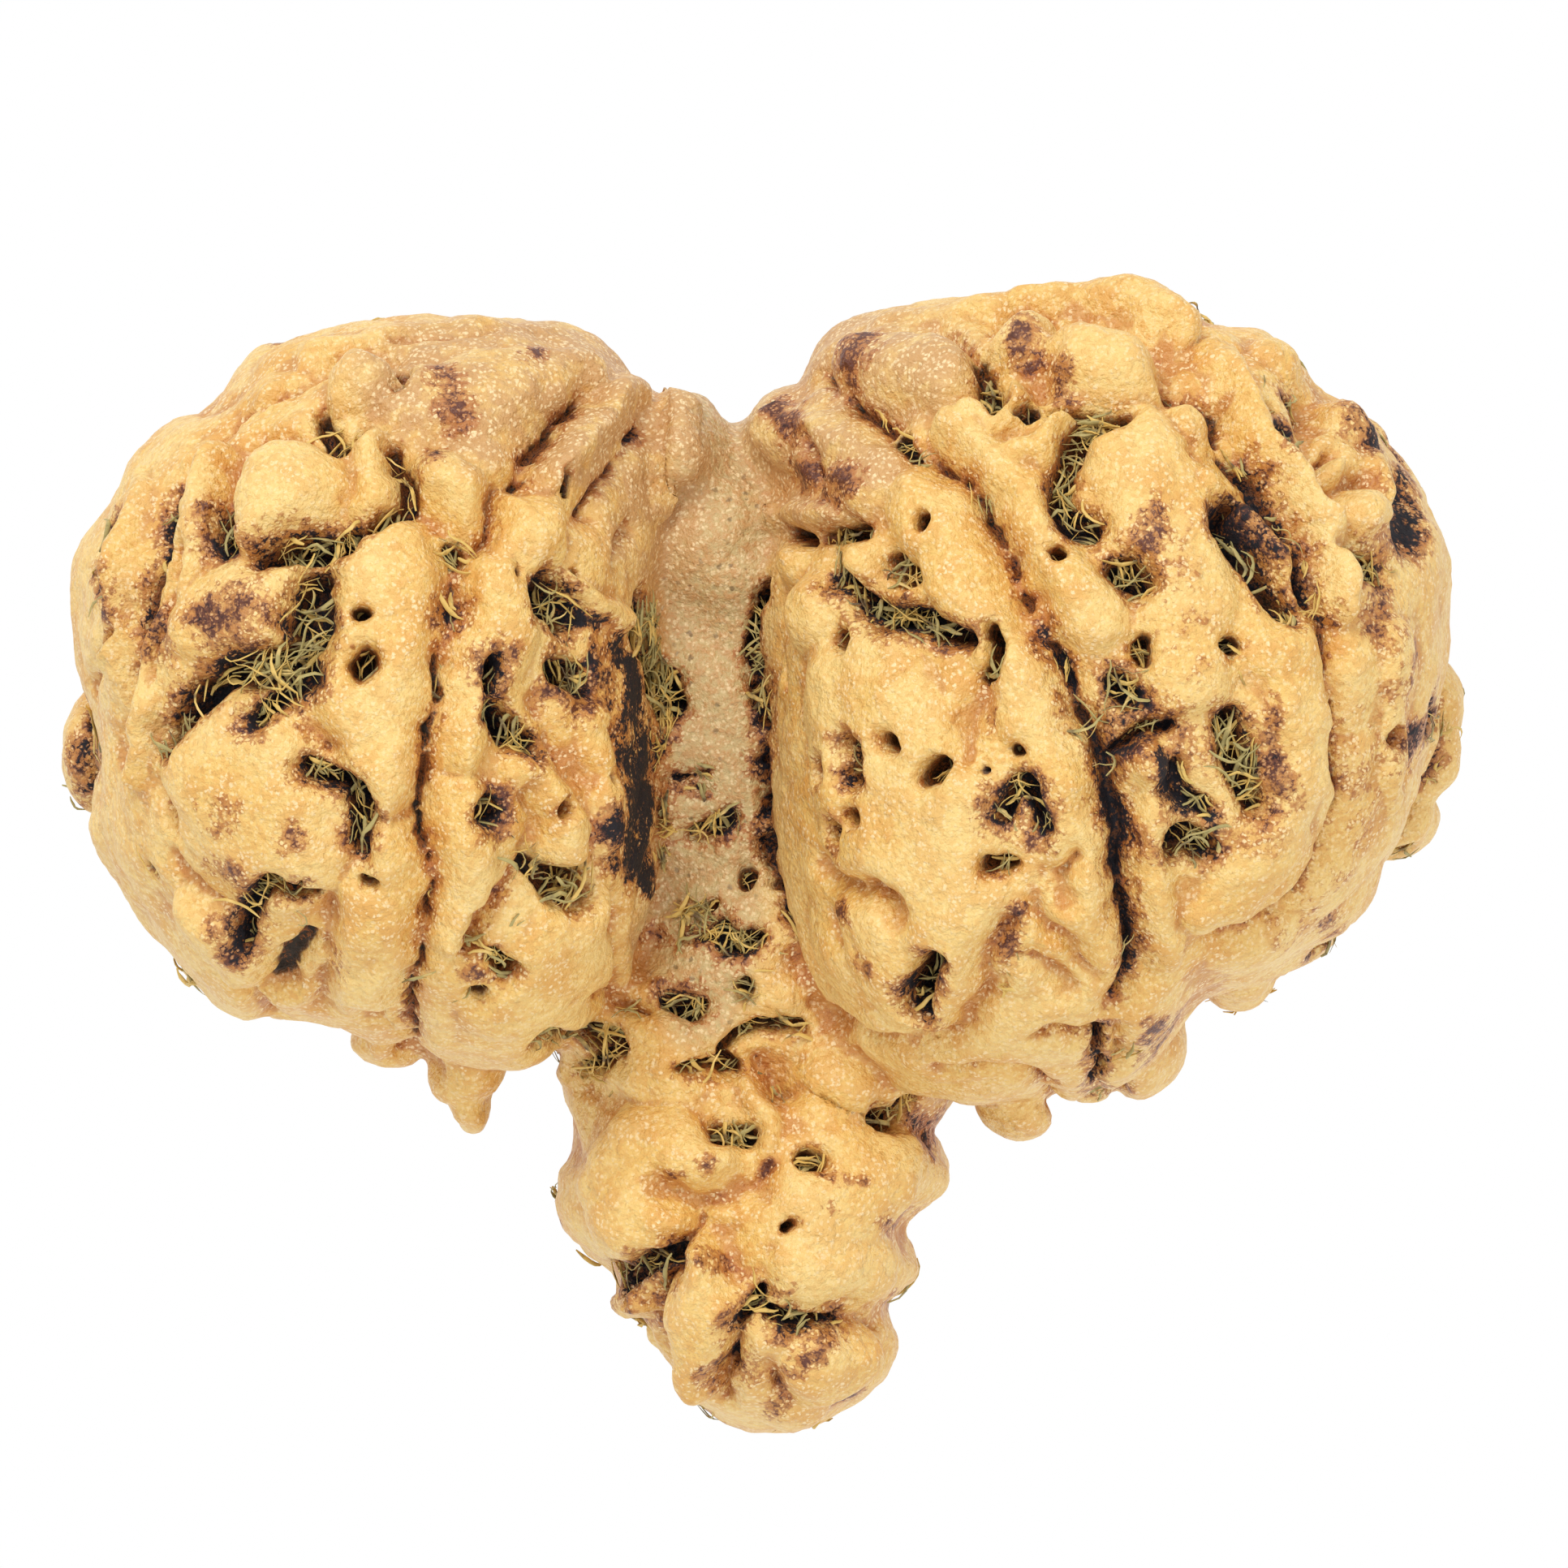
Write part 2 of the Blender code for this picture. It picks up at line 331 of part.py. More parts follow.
    ("furrow", [(1.6, 14.4, 0.15), (2.1, 13.9, 0.15), (2.9, 13.3, 0.15), (3.6, 12.8, 0.15)]),
    ("pit", [(4.0, 12.5, 0.25), (4.4, 11.8, 0.25)]),
    ("groove", [(1.6, 12.0, 0.12), (1.9, 11.2, 0.15)]),
    ("pocket", [(0.6, 9.6, 0.2), (1.5, 9.3, 0.25), (2.4, 9.7, 0.25), (3.0, 9.7, 0.3)]),
    ("groove", [(5.1, 15.7, 0.15), (5.9, 15.3, 0.18), (6.2, 14.8, 0.15), (6.7, 14.3, 0.15)]),
    ("pocket", [(6.5, 14.6, 0.3), (6.6, 13.8, 0.4), (6.9, 13.1, 0.3)]),
    ("step", [(7.0, 15.7, 0.12), (8.1, 16.1, 0.12), (9.0, 15.7, 0.12), (9.1, 15.2, 0.12)]),
    ("step", [(9.4, 15.8, 0.12), (10.7, 15.6, 0.12), (11.8, 15.2, 0.12), (12.2, 14.4, 0.12)]),
    ("step", [(8.4, 14.2, 0.12), (8.2, 13.6, 0.12)]),
    ("hole", [(7.8, 13.0, 0.35)]),
    ("pocket", [(8.5, 13.0, 0.2), (9.5, 12.9, 0.28), (10.7, 12.95, 0.2)]),
    ("pocket", [(10.5, 12.9, 0.3), (9.6, 12.6, 0.42), (9.2, 12.0, 0.42), (8.9, 11.2, 0.4)]),
    ("deep", [(8.9, 11.0, 0.36), (8.8, 10.5, 0.35), (9.2, 10.1, 0.4), (9.8, 9.7, 0.34)]),
    # Right lobe, the inner cleft
    ("furrow", [(5.0, 11.9, 0.1), (5.6, 11.5, 0.1), (6.1, 10.9, 0.11), (6.8, 9.9, 0.12),
                (7.1, 9.2, 0.12), (7.4, 8.5, 0.12), (7.5, 7.9, 0.12), (7.8, 7.3, 0.13),
                (8.3, 6.7, 0.14)]),
    ("cleft", [(8.3, 6.7, 0.14), (8.7, 6.0, 0.16), (9.0, 5.4, 0.18), (9.1, 4.6, 0.2),
               (9.5, 3.9, 0.22), (9.9, 3.2, 0.24), (10.1, 2.6, 0.26), (10.2, 1.8, 0.28),
               (10.5, 1.0, 0.32), (10.7, 0.3, 0.36), (10.6, -0.4, 0.32), (10.8, -1.2, 0.2),
               (10.8, -2.0, 0.18), (10.9, -2.8, 0.18), (11.1, -3.5, 0.2), (10.6, -4.4, 0.15)]),
    ("hole", [(8.75, 8.95, 0.28)]),
    ("deep", [(10.7, 8.5, 0.45), (11.0, 8.1, 0.5)]),
    ("pit", [(11.2, 6.3, 0.3), (11.2, 5.9, 0.3)]),
    ("pit", [(14.1, 6.2, 0.38)]),
    ("stained", [(10.7, 4.9, 0.45)]),
    ("hole", [(5.0, 9.85, 0.28)]),
    ("pocket", [(6.9, 6.8, 0.2), (7.1, 6.2, 0.22), (6.9, 5.4, 0.22), (6.5, 5.2, 0.2)]),
    ("deep", [(2.2, 8.2, 0.3), (3.2, 7.2, 0.4), (3.7, 6.9, 0.4), (4.6, 7.0, 0.38),
              (5.4, 6.6, 0.38), (6.2, 6.4, 0.3)]),
    ("pocket", [(3.8, 8.8, 0.3), (4.3, 8.3, 0.34)]),
    ("pocket", [(2.0, 9.0, 0.2), (2.2, 8.4, 0.25)]),
    # Right lobe, the face pad
    ("pit", [(2.1, 6.5, 0.35)]),
    ("hole", [(0.65, 5.5, 0.13), (0.65, 4.9, 0.13)]),
    ("hole", [(1.15, 2.45, 0.28)]),
    ("pit", [(1.9, 3.2, 0.22), (2.4, 2.75, 0.22), (2.25, 2.35, 0.28)]),
    ("pit", [(3.6, 3.2, 0.3)]),
    ("pit", [(4.9, 2.35, 0.28), (5.3, 2.6, 0.28)]),
    ("pit", [(2.3, 1.1, 0.24)]),
    ("pit", [(1.6, 0.65, 0.33)]),
    ("step", [(1.7, -0.3, 0.1), (2.7, -0.8, 0.14), (3.6, -0.8, 0.14), (4.3, -1.4, 0.1)]),
    ("hole", [(7.6, 3.2, 0.25)]),
    ("hole", [(6.65, 2.6, 0.14)]),
    ("stained", [(7.0, 1.2, 0.25), (7.3, 1.9, 0.3), (7.8, 2.1, 0.32), (8.2, 1.6, 0.3), (8.35, 0.9, 0.22)]),
    ("pit", [(6.8, -0.4, 0.3), (7.2, -0.4, 0.3)]),
    ("deep", [(5.3, -2.9, 0.28), (4.7, -3.8, 0.38), (4.8, -4.4, 0.35)]),
    ("dimple", [(2.2, -2.2, 0.2)]),
    ("step", [(0.9, -3.2, 0.14), (1.6, -4.6, 0.16), (3.0, -5.5, 0.18), (4.2, -5.7, 0.18),
              (5.4, -5.4, 0.18), (6.4, -4.7, 0.18), (6.8, -3.8, 0.16), (6.8, -2.9, 0.14),
              (7.3, -2.0, 0.12)]),
    ("step", [(8.0, -1.4, 0.1), (8.4, -2.2, 0.12), (9.2, -2.7, 0.12), (9.9, -3.6, 0.1)]),
    ("step", [(7.9, -3.0, 0.1), (8.8, -3.5, 0.12), (9.2, -4.0, 0.1)]),
    ("crease", [(8.3, -3.2, 0.1), (7.6, -2.9, 0.12), (7.2, -3.2, 0.12), (7.3, -4.1, 0.12)]),
    ("step", [(6.4, 4.8, 0.08), (6.0, 3.9, 0.1), (6.1, 2.9, 0.08)]),
    ("step", [(9.3, 0.2, 0.08), (8.7, -0.6, 0.1), (8.9, -1.3, 0.08)]),
    # Right lobe, between the clefts
    ("stained", [(10.2, 2.9, 0.18), (10.9, 3.6, 0.2), (11.5, 3.9, 0.2), (12.2, 3.9, 0.2)]),
    ("hollow", [(12.3, 2.8, 0.25), (12.3, 1.9, 0.35), (13.1, 1.2, 0.3)]),
    ("deep", [(12.3, 0.4, 0.5), (13.1, 0.1, 0.45)]),
    ("deep", [(13.8, 3.8, 0.5), (14.2, 2.9, 0.5), (14.4, 2.0, 0.4), (14.6, 1.4, 0.28)]),
    ("deep", [(13.9, 10.5, 0.3), (13.6, 9.9, 0.42), (14.0, 9.3, 0.45), (14.5, 8.7, 0.42),
              (14.8, 8.0, 0.4), (15.3, 7.5, 0.35), (15.8, 7.1, 0.25)]),
    ("pit", [(12.7, 12.3, 0.12), (12.7, 11.9, 0.12)]),
    # Right lobe, the outer cleft and beyond
    ("furrow", [(12.0, 14.0, 0.16), (12.6, 13.8, 0.16), (13.2, 13.6, 0.18), (13.5, 12.9, 0.15),
                (13.5, 12.2, 0.15), (14.3, 11.6, 0.2)]),
    ("cleft", [(14.3, 11.6, 0.2), (14.7, 11.2, 0.3), (15.0, 10.6, 0.3),
               (15.3, 10.0, 0.2), (15.9, 9.5, 0.15), (16.1, 9.0, 0.18), (16.1, 8.1, 0.2),
               (16.5, 7.5, 0.15), (16.8, 6.9, 0.15)]),
    ("furrow", [(16.8, 6.9, 0.14), (16.9, 5.5, 0.12), (17.2, 4.4, 0.12), (17.4, 3.5, 0.12),
                (17.2, 2.8, 0.12), (17.4, 2.0, 0.12), (17.1, 0.6, 0.1), (16.5, -0.6, 0.1),
                (15.6, -1.7, 0.1), (14.3, -2.5, 0.08), (13.5, -2.4, 0.07)]),
    ("hole", [(14.95, 13.4, 0.28)]),
    ("stained", [(15.8, 13.5, 0.33)]),
    ("stained", [(15.5, 12.6, 0.35), (15.5, 12.1, 0.35)]),
    ("groove", [(16.1, 11.7, 0.15), (16.9, 12.0, 0.15)]),
    ("step", [(16.2, 13.3, 0.12), (16.2, 12.4, 0.12), (16.2, 11.7, 0.12)]),
    ("step", [(16.6, 10.8, 0.1), (17.0, 10.8, 0.1), (17.9, 11.2, 0.12)]),
    ("step", [(16.9, 9.3, 0.1), (17.4, 9.2, 0.1)]),
    ("deep", [(17.7, 8.7, 0.45), (18.3, 8.5, 0.45)]),
    ("dimple", [(19.1, 11.0, 0.4), (19.1, 9.6, 0.4)]),
    ("pit", [(18.6, 3.6, 0.35)]),
    ("stained", [(19.9, 4.5, 0.3), (19.9, 3.9, 0.35)]),
    ("deep", [(10.0, -5.3, 0.15), (10.0, -7.3, 0.15)]),
    ("groove", [(10.55, -5.2, 0.1), (10.6, -6.4, 0.1)]),
    ("groove", [(5.2, -6.5, 0.1), (7.2, -6.4, 0.12), (8.2, -6.7, 0.12), (8.8, -7.4, 0.1)]),
    ("groove", [(8.2, -5.4, 0.12), (8.8, -5.1, 0.12), (9.3, -5.4, 0.12), (9.8, -5.3, 0.12)]),
    ("deep", [(3.3, -7.75, 0.2), (4.0, -7.9, 0.25), (4.4, -7.4, 0.3)]),
    # Tail
    ("pocket", [(-1.3, -8.2, 0.4), (-0.5, -8.2, 0.4)]),
    ("pit", [(1.35, -9.0, 0.45)]),
    ("hole", [(0.7, -11.0, 0.26)]),
    ("deep", [(-2.6, -11.8, 0.2), (-3.1, -12.1, 0.4), (-3.7, -12.4, 0.3), (-4.3, -12.5, 0.3)]),
    ("groove", [(-2.6, -11.7, 0.15), (-2.0, -11.2, 0.15), (-1.7, -10.6, 0.15)]),
    ("deep", [(-0.1, -12.9, 0.22), (-0.3, -13.5, 0.28), (-0.7, -13.9, 0.25)]),
    ("deep", [(0.1, -13.6, 0.2), (0.8, -13.95, 0.25), (2.4, -13.9, 0.2)]),
    ("step", [(2.4, -13.9, 0.15), (3.6, -14.0, 0.15)]),
    ("step", [(-2.9, -9.9, 0.12), (-2.0, -10.2, 0.16), (-0.8, -10.1, 0.2), (0.0, -9.8, 0.15),
              (0.1, -9.2, 0.1)]),
    ("dimple", [(-1.2, -11.1, 0.35), (-0.8, -12.2, 0.25)]),
    ("groove", [(-0.7, -14.0, 0.12), (-0.7, -14.6, 0.15), (-0.9, -15.4, 0.2), (-1.2, -16.3, 0.12)]),
    ("stained", [(-0.85, -15.4, 0.22), (-0.8, -15.0, 0.18)]),
    ("groove", [(0.1, -15.2, 0.12), (0.7, -16.1, 0.12)]),
    ("furrow", [(-2.6, -12.2, 0.12), (-3.1, -13.3, 0.12), (-2.9, -14.7, 0.12)]),
]


# Carved lines and rows of pits round the sides: the swell, the height and the two directions
# that it runs between, in degrees
SIDE_CLEFTS = [
    ("left_lobe", 4.6, (60, 262)),
    ("left_lobe", 9.0, (75, 235)),
    ("right_lobe", 4.8, (-70, 118)),
    ("right_lobe", 9.4, (-40, 100)),
    ("tail", 3.4, (200, 335)),
]
SIDE_PITS = [
    ("left_lobe", 6.9, (50, 265)),
    ("left_lobe", 11.0, (80, 230)),
    ("right_lobe", 7.2, (-75, 125)),
    ("right_lobe", 11.4, (-30, 105)),
    ("tail", 5.6, (170, 360)),
]
SIDE_SEED = 7
SIDE_STEP = 3
SIDE_WAVES = ((13, 0.5), (5, 0.3))
SIDE_CLEFT_HALF_WIDTH = 0.16
PIT_SPACING = 21
PIT_WANDER = 12
PIT_RISE = 0.9
PIT_HALF_WIDTHS = (0.28, 0.5)


def smooth_ring(values, width):
    """Values round a closed ring, averaged over a bell curve this many samples wide."""
    reach = np.arange(-3 * width, 3 * width + 1)
    bell = np.exp(-0.5 * (reach / width) ** 2)
    bell /= bell.sum()
    around = np.concatenate([values[-3 * width:], values, values[:3 * width]])
    return np.convolve(around, bell, mode="valid")


def rim_radius(middle, rim, count):
    """The distance from the middle to the rim outline in each of count directions."""
    start = np.array(rim) - middle[:2]
    side = np.roll(start, -1, axis=0) - start
    turn = np.arange(count) * 2 * math.pi / count
    ray = np.stack([np.cos(turn), np.sin(turn)], axis=1)
    cross = ray[:, None, 0] * side[None, :, 1] - ray[:, None, 1] * side[None, :, 0]
    cross = np.where(np.abs(cross) < 1e-9, 1e-9, cross)
    reach = (start[:, 0] * side[:, 1] - start[:, 1] * side[:, 0])[None, :] / cross
    along = (start[None, :, 0] * ray[:, None, 1] - start[None, :, 1] * ray[:, None, 0]) / cross
    hit = (reach > 0) & (along >= 0) & (along <= 1)
    return np.where(hit, reach, 0).max(axis=1)


def add_swell(swell):
    """A sphere drawn out to the rim outline, whose bumps fade towards its top and bottom."""
    bpy.ops.mesh.primitive_uv_sphere_add(segments=SWELL_SEGMENTS, ring_count=SWELL_RINGS, radius=1)
    ball = bpy.context.object
    sharp = smooth_ring(rim_radius(swell["middle"], swell["rim"], RIM_SAMPLES), SHARP_WIDTH)
    plain = smooth_ring(sharp, PLAIN_WIDTH)
    points = positions(ball)
    turn = np.arctan2(points[:, 1], points[:, 0]) % (2 * math.pi)
    sample = turn / (2 * math.pi) * RIM_SAMPLES
    ends = np.arange(RIM_SAMPLES + 1)
    sharp_here = np.interp(sample, ends, np.append(sharp, sharp[0]))
    plain_here = np.interp(sample, ends, np.append(plain, plain[0]))
    rise = np.clip(points[:, 2], -1, 1)
    near_rim = 1 - smoothstep(*RIM_FADE, np.abs(rise))
    radius = plain_here + (sharp_here - plain_here) * near_rim
    power = 2 / swell["fullness"]
    height = np.sign(rise) * np.abs(rise) ** power
    across = (1 - rise ** 2) ** (power / 2)
    middle = swell["middle"]
    points[:, 0] = middle[0] + np.cos(turn) * radius * across
    points[:, 1] = middle[1] + np.sin(turn) * radius * across
    points[:, 2] = middle[2] + height * swell["half_height"]
    set_positions(ball, points)
    return ball


def smoothstep(low, high, value):
    part = np.clip((value - low) / (high - low), 0, 1)
    return part * part * (3 - 2 * part)


def positions(obj):
    points = np.empty(len(obj.data.vertices) * 3)
    obj.data.vertices.foreach_get("co", points)
    return points.reshape(-1, 3)


def set_positions(obj, points):
    obj.data.vertices.foreach_set("co", points.ravel())
    obj.data.update()


def normals(obj):
    found = np.empty(len(obj.data.vertices) * 3)
    obj.data.vertices.foreach_get("normal", found)
    return found.reshape(-1, 3)


def apply_modifier(obj, kind, **settings):
    modifier = obj.modifiers.new(kind.title(), kind)
    for name, value in settings.items():
        setattr(modifier, name, value)
    bpy.context.view_layer.objects.active = obj
    bpy.ops.object.modifier_apply(modifier=modifier.name)


def plain_form():
    """The swollen forms and lumps, fused into one smooth body."""
    pieces = [add_swell(swell) for swell in SWELLS.values()]
    for x, y, z, *radii in LUMPS:
        bpy.ops.mesh.primitive_uv_sphere_add(segments=LUMP_SEGMENTS, ring_count=LUMP_RINGS, radius=1)
        ball = bpy.context.object
        ball.data.transform(Matrix.LocRotScale(Vector((x, y, z)), None, Vector(radii)))
        pieces.append(ball)
    bpy.ops.object.select_all(action="DESELECT")
    for piece in pieces:
        piece.select_set(True)
    bpy.context.view_layer.objects.active = pieces[0]
    bpy.ops.object.join()
    body = bpy.context.object
    apply_modifier(body, "REMESH", mode="VOXEL", voxel_size=VOXEL)
    apply_modifier(body, "SMOOTH", factor=0.5, iterations=FORM_SMOOTHING)
    return body


def laid_chain(tree, chain, from_above):
    """The points of a map line, closely spaced and dropped on the form, with their widths."""
    line = np.array(chain)
    if len(line) > 1:
        spans = np.linalg.norm(np.diff(line[:, :2], axis=0), axis=1)
        along = np.concatenate([[0], np.cumsum(spans)])
        steps = np.linspace(0, along[-1], max(2, math.ceil(along[-1] / CHAIN_STEP) + 1))
        line = np.stack([np.interp(steps, along, line[:, i]) for i in range(3)], axis=1)
    up = 1 if from_above else -1
    laid = []
    for x, y, _ in line:
        start = Vector((x, y, RIM_HEIGHT + up * RAY_LENGTH))
        hit = tree.ray_cast(start, Vector((0, 0, -up)))[0]
        if hit is None:
            hit = tree.find_nearest(Vector((x, y, RIM_HEIGHT)))[0]
        laid.append(hit)
    return np.array(laid), line[:, 2]


def side_chain(tree, swell, height, turns, width):
    """A line that follows a swell's rim at this height between two directions, in degrees."""
    radius = rim_radius(swell["middle"], swell["rim"], 360)  # one direction for each degree
    laid = []
    for turn in np.arange(turns[0], turns[1] + 1, SIDE_STEP):
        wave = height + sum(amount * math.sin(turn / spread) for spread, amount in SIDE_WAVES)
        reach = radius[int(turn) % 360]
        x = swell["middle"][0] + reach * math.cos(math.radians(turn))
        y = swell["middle"][1] + reach * math.sin(math.radians(turn))
        laid.append(tree.find_nearest(Vector((x, y, wave)))[0])
    return np.array(laid), np.full(len(laid), width)


def side_features(tree):
    """Carved lines and pits round the sides: kind, points and half widths."""
    found = []
    for name, height, turns in SIDE_CLEFTS:
        found.append(("cleft", *side_chain(tree, SWELLS[name], height, turns, SIDE_CLEFT_HALF_WIDTH)))
    draw = random.Random(SIDE_SEED)
    for name, height, turns in SIDE_PITS:
        for turn in np.arange(turns[0], turns[1], PIT_SPACING):
            first = turn + draw.uniform(0, PIT_WANDER)
            last = first + draw.choice((0, SIDE_STEP, 2 * SIDE_STEP))
            level = height + draw.uniform(-PIT_RISE, PIT_RISE)
            size = draw.uniform(*PIT_HALF_WIDTHS)
            found.append(("pocket", *side_chain(tree, SWELLS[name], level, (first, last), size)))
    return found


def chain_distance(points, order, laid, widths, reach):
    """The points near a laid chain, their distance from it, and its width where each is nearest."""
    low = laid[:, 0].min() - reach
    high = laid[:, 0].max() + reach
    first, last = np.searchsorted(points[order, 0], (low, high))
    near = order[first:last]
    there = points[near]
    for axis in (1, 2):
        inside = np.abs(there[:, axis] - laid[:, axis].mean()) < np.ptp(laid[:, axis]) / 2 + reach + 1
        near, there = near[inside], there[inside]
    distance = np.full(len(near), np.inf)
    width = np.zeros(len(near))
    for i in range(max(1, len(laid) - 1)):
        start, end = laid[i], laid[min(i + 1, len(laid) - 1)]
        side = end - start
        share = np.clip((there - start) @ side / max(side @ side, 1e-9), 0, 1)
        apart = np.linalg.norm(there - start - share[:, None] * side, axis=1)
        here = widths[i] + share * (widths[min(i + 1, len(laid) - 1)] - widths[i])
        closer = apart - here < distance - width
        distance[closer] = apart[closer]
        width[closer] = here[closer]
    return near, distance, width


def wandered(chain):
    """A map line moved a little by a rule, so that the underside isn't the top's mirror image."""
    return [(x + 0.9 * math.sin(0.55 * y), y + 0.8 * math.sin(0.5 * x + 1), width) for x, y, width in chain]


def soft_noise(points, size, layer):
    """Smooth noise from about -1 to 1, with features of this size."""
    table = np.random.default_rng(NOISE_SEEDS[0]).permutation(256)
    slopes = np.random.default_rng(NOISE_SEEDS[1]).normal(size=(256, 3))
    slopes /= np.linalg.norm(slopes, axis=1)[:, None]
    place = points / size + layer * NOISE_SPREAD
    cell = np.floor(place).astype(np.int64)
    part = place - cell
    fade = part ** 3 * (part * (part * 6 - 15) + 10)
    total = np.zeros(len(points))
    for corner in np.ndindex(2, 2, 2):
        at = (cell + corner) & 255
        code = table[(table[(table[at[:, 0]] + at[:, 1]) & 255] + at[:, 2]) & 255]
        slope = (slopes[code] * (part - corner)).sum(axis=1)
        total += slope * np.where(corner, fade, 1 - fade).prod(axis=1)
    return total * NOISE_GAIN


def smooth_trough(body):
    """Melts the lumps between the lobes into one trough."""
    points = positions(body)
    line = np.array(TROUGH)[::-1]
    off = np.abs(points[:, 0] - np.interp(points[:, 1], line[:, 1], line[:, 0]))
    along = (points[:, 1] > TROUGH_ENDS[0]) & (points[:, 1] < TROUGH_ENDS[1])
    weight = along * (1 - smoothstep(*TROUGH_EDGES, off))
    group = body.vertex_groups.new(name="trough")
    for tenth in range(1, 11):
        chosen = np.nonzero(np.ceil(weight * 10) == tenth)[0]
        group.add(chosen.tolist(), tenth / 10, "REPLACE")
    apply_modifier(body, "SMOOTH", factor=0.5, iterations=TROUGH_SMOOTHING, vertex_group="trough")


def relief(body):
    """How far each vertex stands above or below the plain form."""
    points = positions(body)
    tree = BVHTree.FromPolygons(points.tolist(), [tuple(face.vertices) for face in body.data.polygons])
    bent = points.copy()
    for size, amount in WAVER:
        for axis in range(3):
            bent[:, axis] += amount * soft_noise(points, size, axis + 1)
    order = np.argsort(bent[:, 0])
    raised = np.zeros(len(points))
    carved = np.zeros(len(points))
    cuts = side_features(tree)
    for from_above in (True, False):
        for height, crown, chain in RAISED:
            line = chain if from_above else wandered(chain)
            laid, radii = laid_chain(tree, line, from_above)
            near, distance, radius = chain_distance(bent, order, laid, radii, radii.max())
            inside = np.clip(1 - distance / radius, 0, 1)
            raised[near] = np.maximum(raised[near], height * (1 - (1 - inside) ** crown))
        for kind, chain in CARVED:
            line = chain if from_above else wandered(chain)
            cuts.append((kind, *laid_chain(tree, line, from_above)))
    for kind, laid, widths in cuts:
        depth, lip, lip_depth = CUT_KINDS[kind]
        widths = np.maximum(widths, LEAST_HALF_WIDTH)
        near, distance, width = chain_distance(bent, order, laid, widths, widths.max() + lip)
        outside = np.clip(1 - (distance - width) / lip, 0, 1)
        within = np.clip(distance / width, 0, 1)
        depths = lip_depth * outside ** 2 + (depth - lip_depth) * (1 - within ** WALL_STEEPNESS)
        carved[near] = np.maximum(carved[near], depths)
    raised *= smoothstep(0.0, STEEP_FADE, np.abs(normals(body)[:, 2]))
    level = raised * np.clip(1 - carved / LEVEL_DEPTH, 0, 1) - carved
    for size, amount in WRINKLES:
        level += amount * (np.abs(soft_noise(points, size, WRINKLE_LAYER)) - WRINKLE_LEVEL)
    return smoothstep(*REST_CLEAR, points[:, 2]) * level


def add_relief(body):
    points = positions(body)
    set_positions(body, points + normals(body) * relief(body)[:, None])


def trim_flat(body, height):
    """Cuts the body off level at this height, which leaves a small flat under each low point."""
    mesh = bmesh.new()
    mesh.from_mesh(body.data)
    everything = mesh.verts[:] + mesh.edges[:] + mesh.faces[:]
    cut = bmesh.ops.bisect_plane(mesh, geom=everything, plane_co=(0, 0, height), plane_no=(0, 0, -1),
                                 clear_outer=True)
    rim = [item for item in cut["geom_cut"] if isinstance(item, bmesh.types.BMEdge)]
    bmesh.ops.edgenet_fill(mesh, edges=rim)
    bmesh.ops.triangulate(mesh, faces=mesh.faces[:])
    bmesh.ops.recalc_face_normals(mesh, faces=mesh.faces[:])
    mesh.to_mesh(body.data)
    mesh.free()


def settle(body):
    """Brings the body to its real size, centred over the origin and standing on the ground."""
    points = positions(body)
    low, high = points.min(axis=0), points.max(axis=0)
    scale = BEAD_WIDTH / (high[0] - low[0])
    middle = ((low[0] + high[0]) / 2, (low[1] + high[1]) / 2, low[2])
    set_positions(body, (points - middle) * scale)


def bead_material():
    material = bpy.data.materials.new("bead stone")
    material.use_nodes = True
    shader = material.node_tree.nodes["Principled BSDF"]
    shader.inputs["Base Color"].default_value = BEAD_COLOUR
    shader.inputs["Roughness"].default_value = BEAD_ROUGHNESS
    shader.inputs["Metallic"].default_value = 0.0
    return material


def main():
    for obj in list(bpy.data.objects):
        bpy.data.objects.remove(obj)
    collection = bpy.data.collections.new("rudraksha bead")
    bpy.context.scene.collection.children.link(collection)
    bead = plain_form()
    smooth_trough(bead)
    add_relief(bead)
    apply_modifier(bead, "SMOOTH", factor=0.5, iterations=RELIEF_SMOOTHING)
    apply_modifier(bead, "TRIANGULATE")
    apply_modifier(bead, "DECIMATE", ratio=TRIANGLES / len(bead.data.polygons))
    trim_flat(bead, REST_TRIM)
    settle(bead)
    bead.name = "bead"
    bead.data.materials.clear()
    bead.data.materials.append(bead_material())
    bead.data.shade_smooth()
    for holder in list(bead.users_collection):
        holder.objects.unlink(bead)
    collection.objects.link(bead)


main()
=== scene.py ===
import math
import random

import bpy
import numpy as np
from mathutils import Matrix, Vector
from mathutils.bvhtree import BVHTree


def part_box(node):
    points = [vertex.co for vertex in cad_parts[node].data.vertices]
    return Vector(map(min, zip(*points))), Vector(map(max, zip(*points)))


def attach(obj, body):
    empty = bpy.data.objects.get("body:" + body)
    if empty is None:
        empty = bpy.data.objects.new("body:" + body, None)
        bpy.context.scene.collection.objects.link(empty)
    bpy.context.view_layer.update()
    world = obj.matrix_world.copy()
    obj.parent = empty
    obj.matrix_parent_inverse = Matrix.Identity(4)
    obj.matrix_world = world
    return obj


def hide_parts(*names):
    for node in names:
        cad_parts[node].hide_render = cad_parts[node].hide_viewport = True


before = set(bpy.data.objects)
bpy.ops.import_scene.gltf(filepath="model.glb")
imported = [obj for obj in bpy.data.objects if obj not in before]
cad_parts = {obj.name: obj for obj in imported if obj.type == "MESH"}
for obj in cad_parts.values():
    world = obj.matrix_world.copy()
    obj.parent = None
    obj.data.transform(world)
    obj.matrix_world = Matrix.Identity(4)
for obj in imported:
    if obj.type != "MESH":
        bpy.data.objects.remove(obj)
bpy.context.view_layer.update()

# The bead is modelled in millimetres on a map seen from above, then brought to the frame's metres
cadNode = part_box("bead")
mm = 0.001
print("frame loaded")


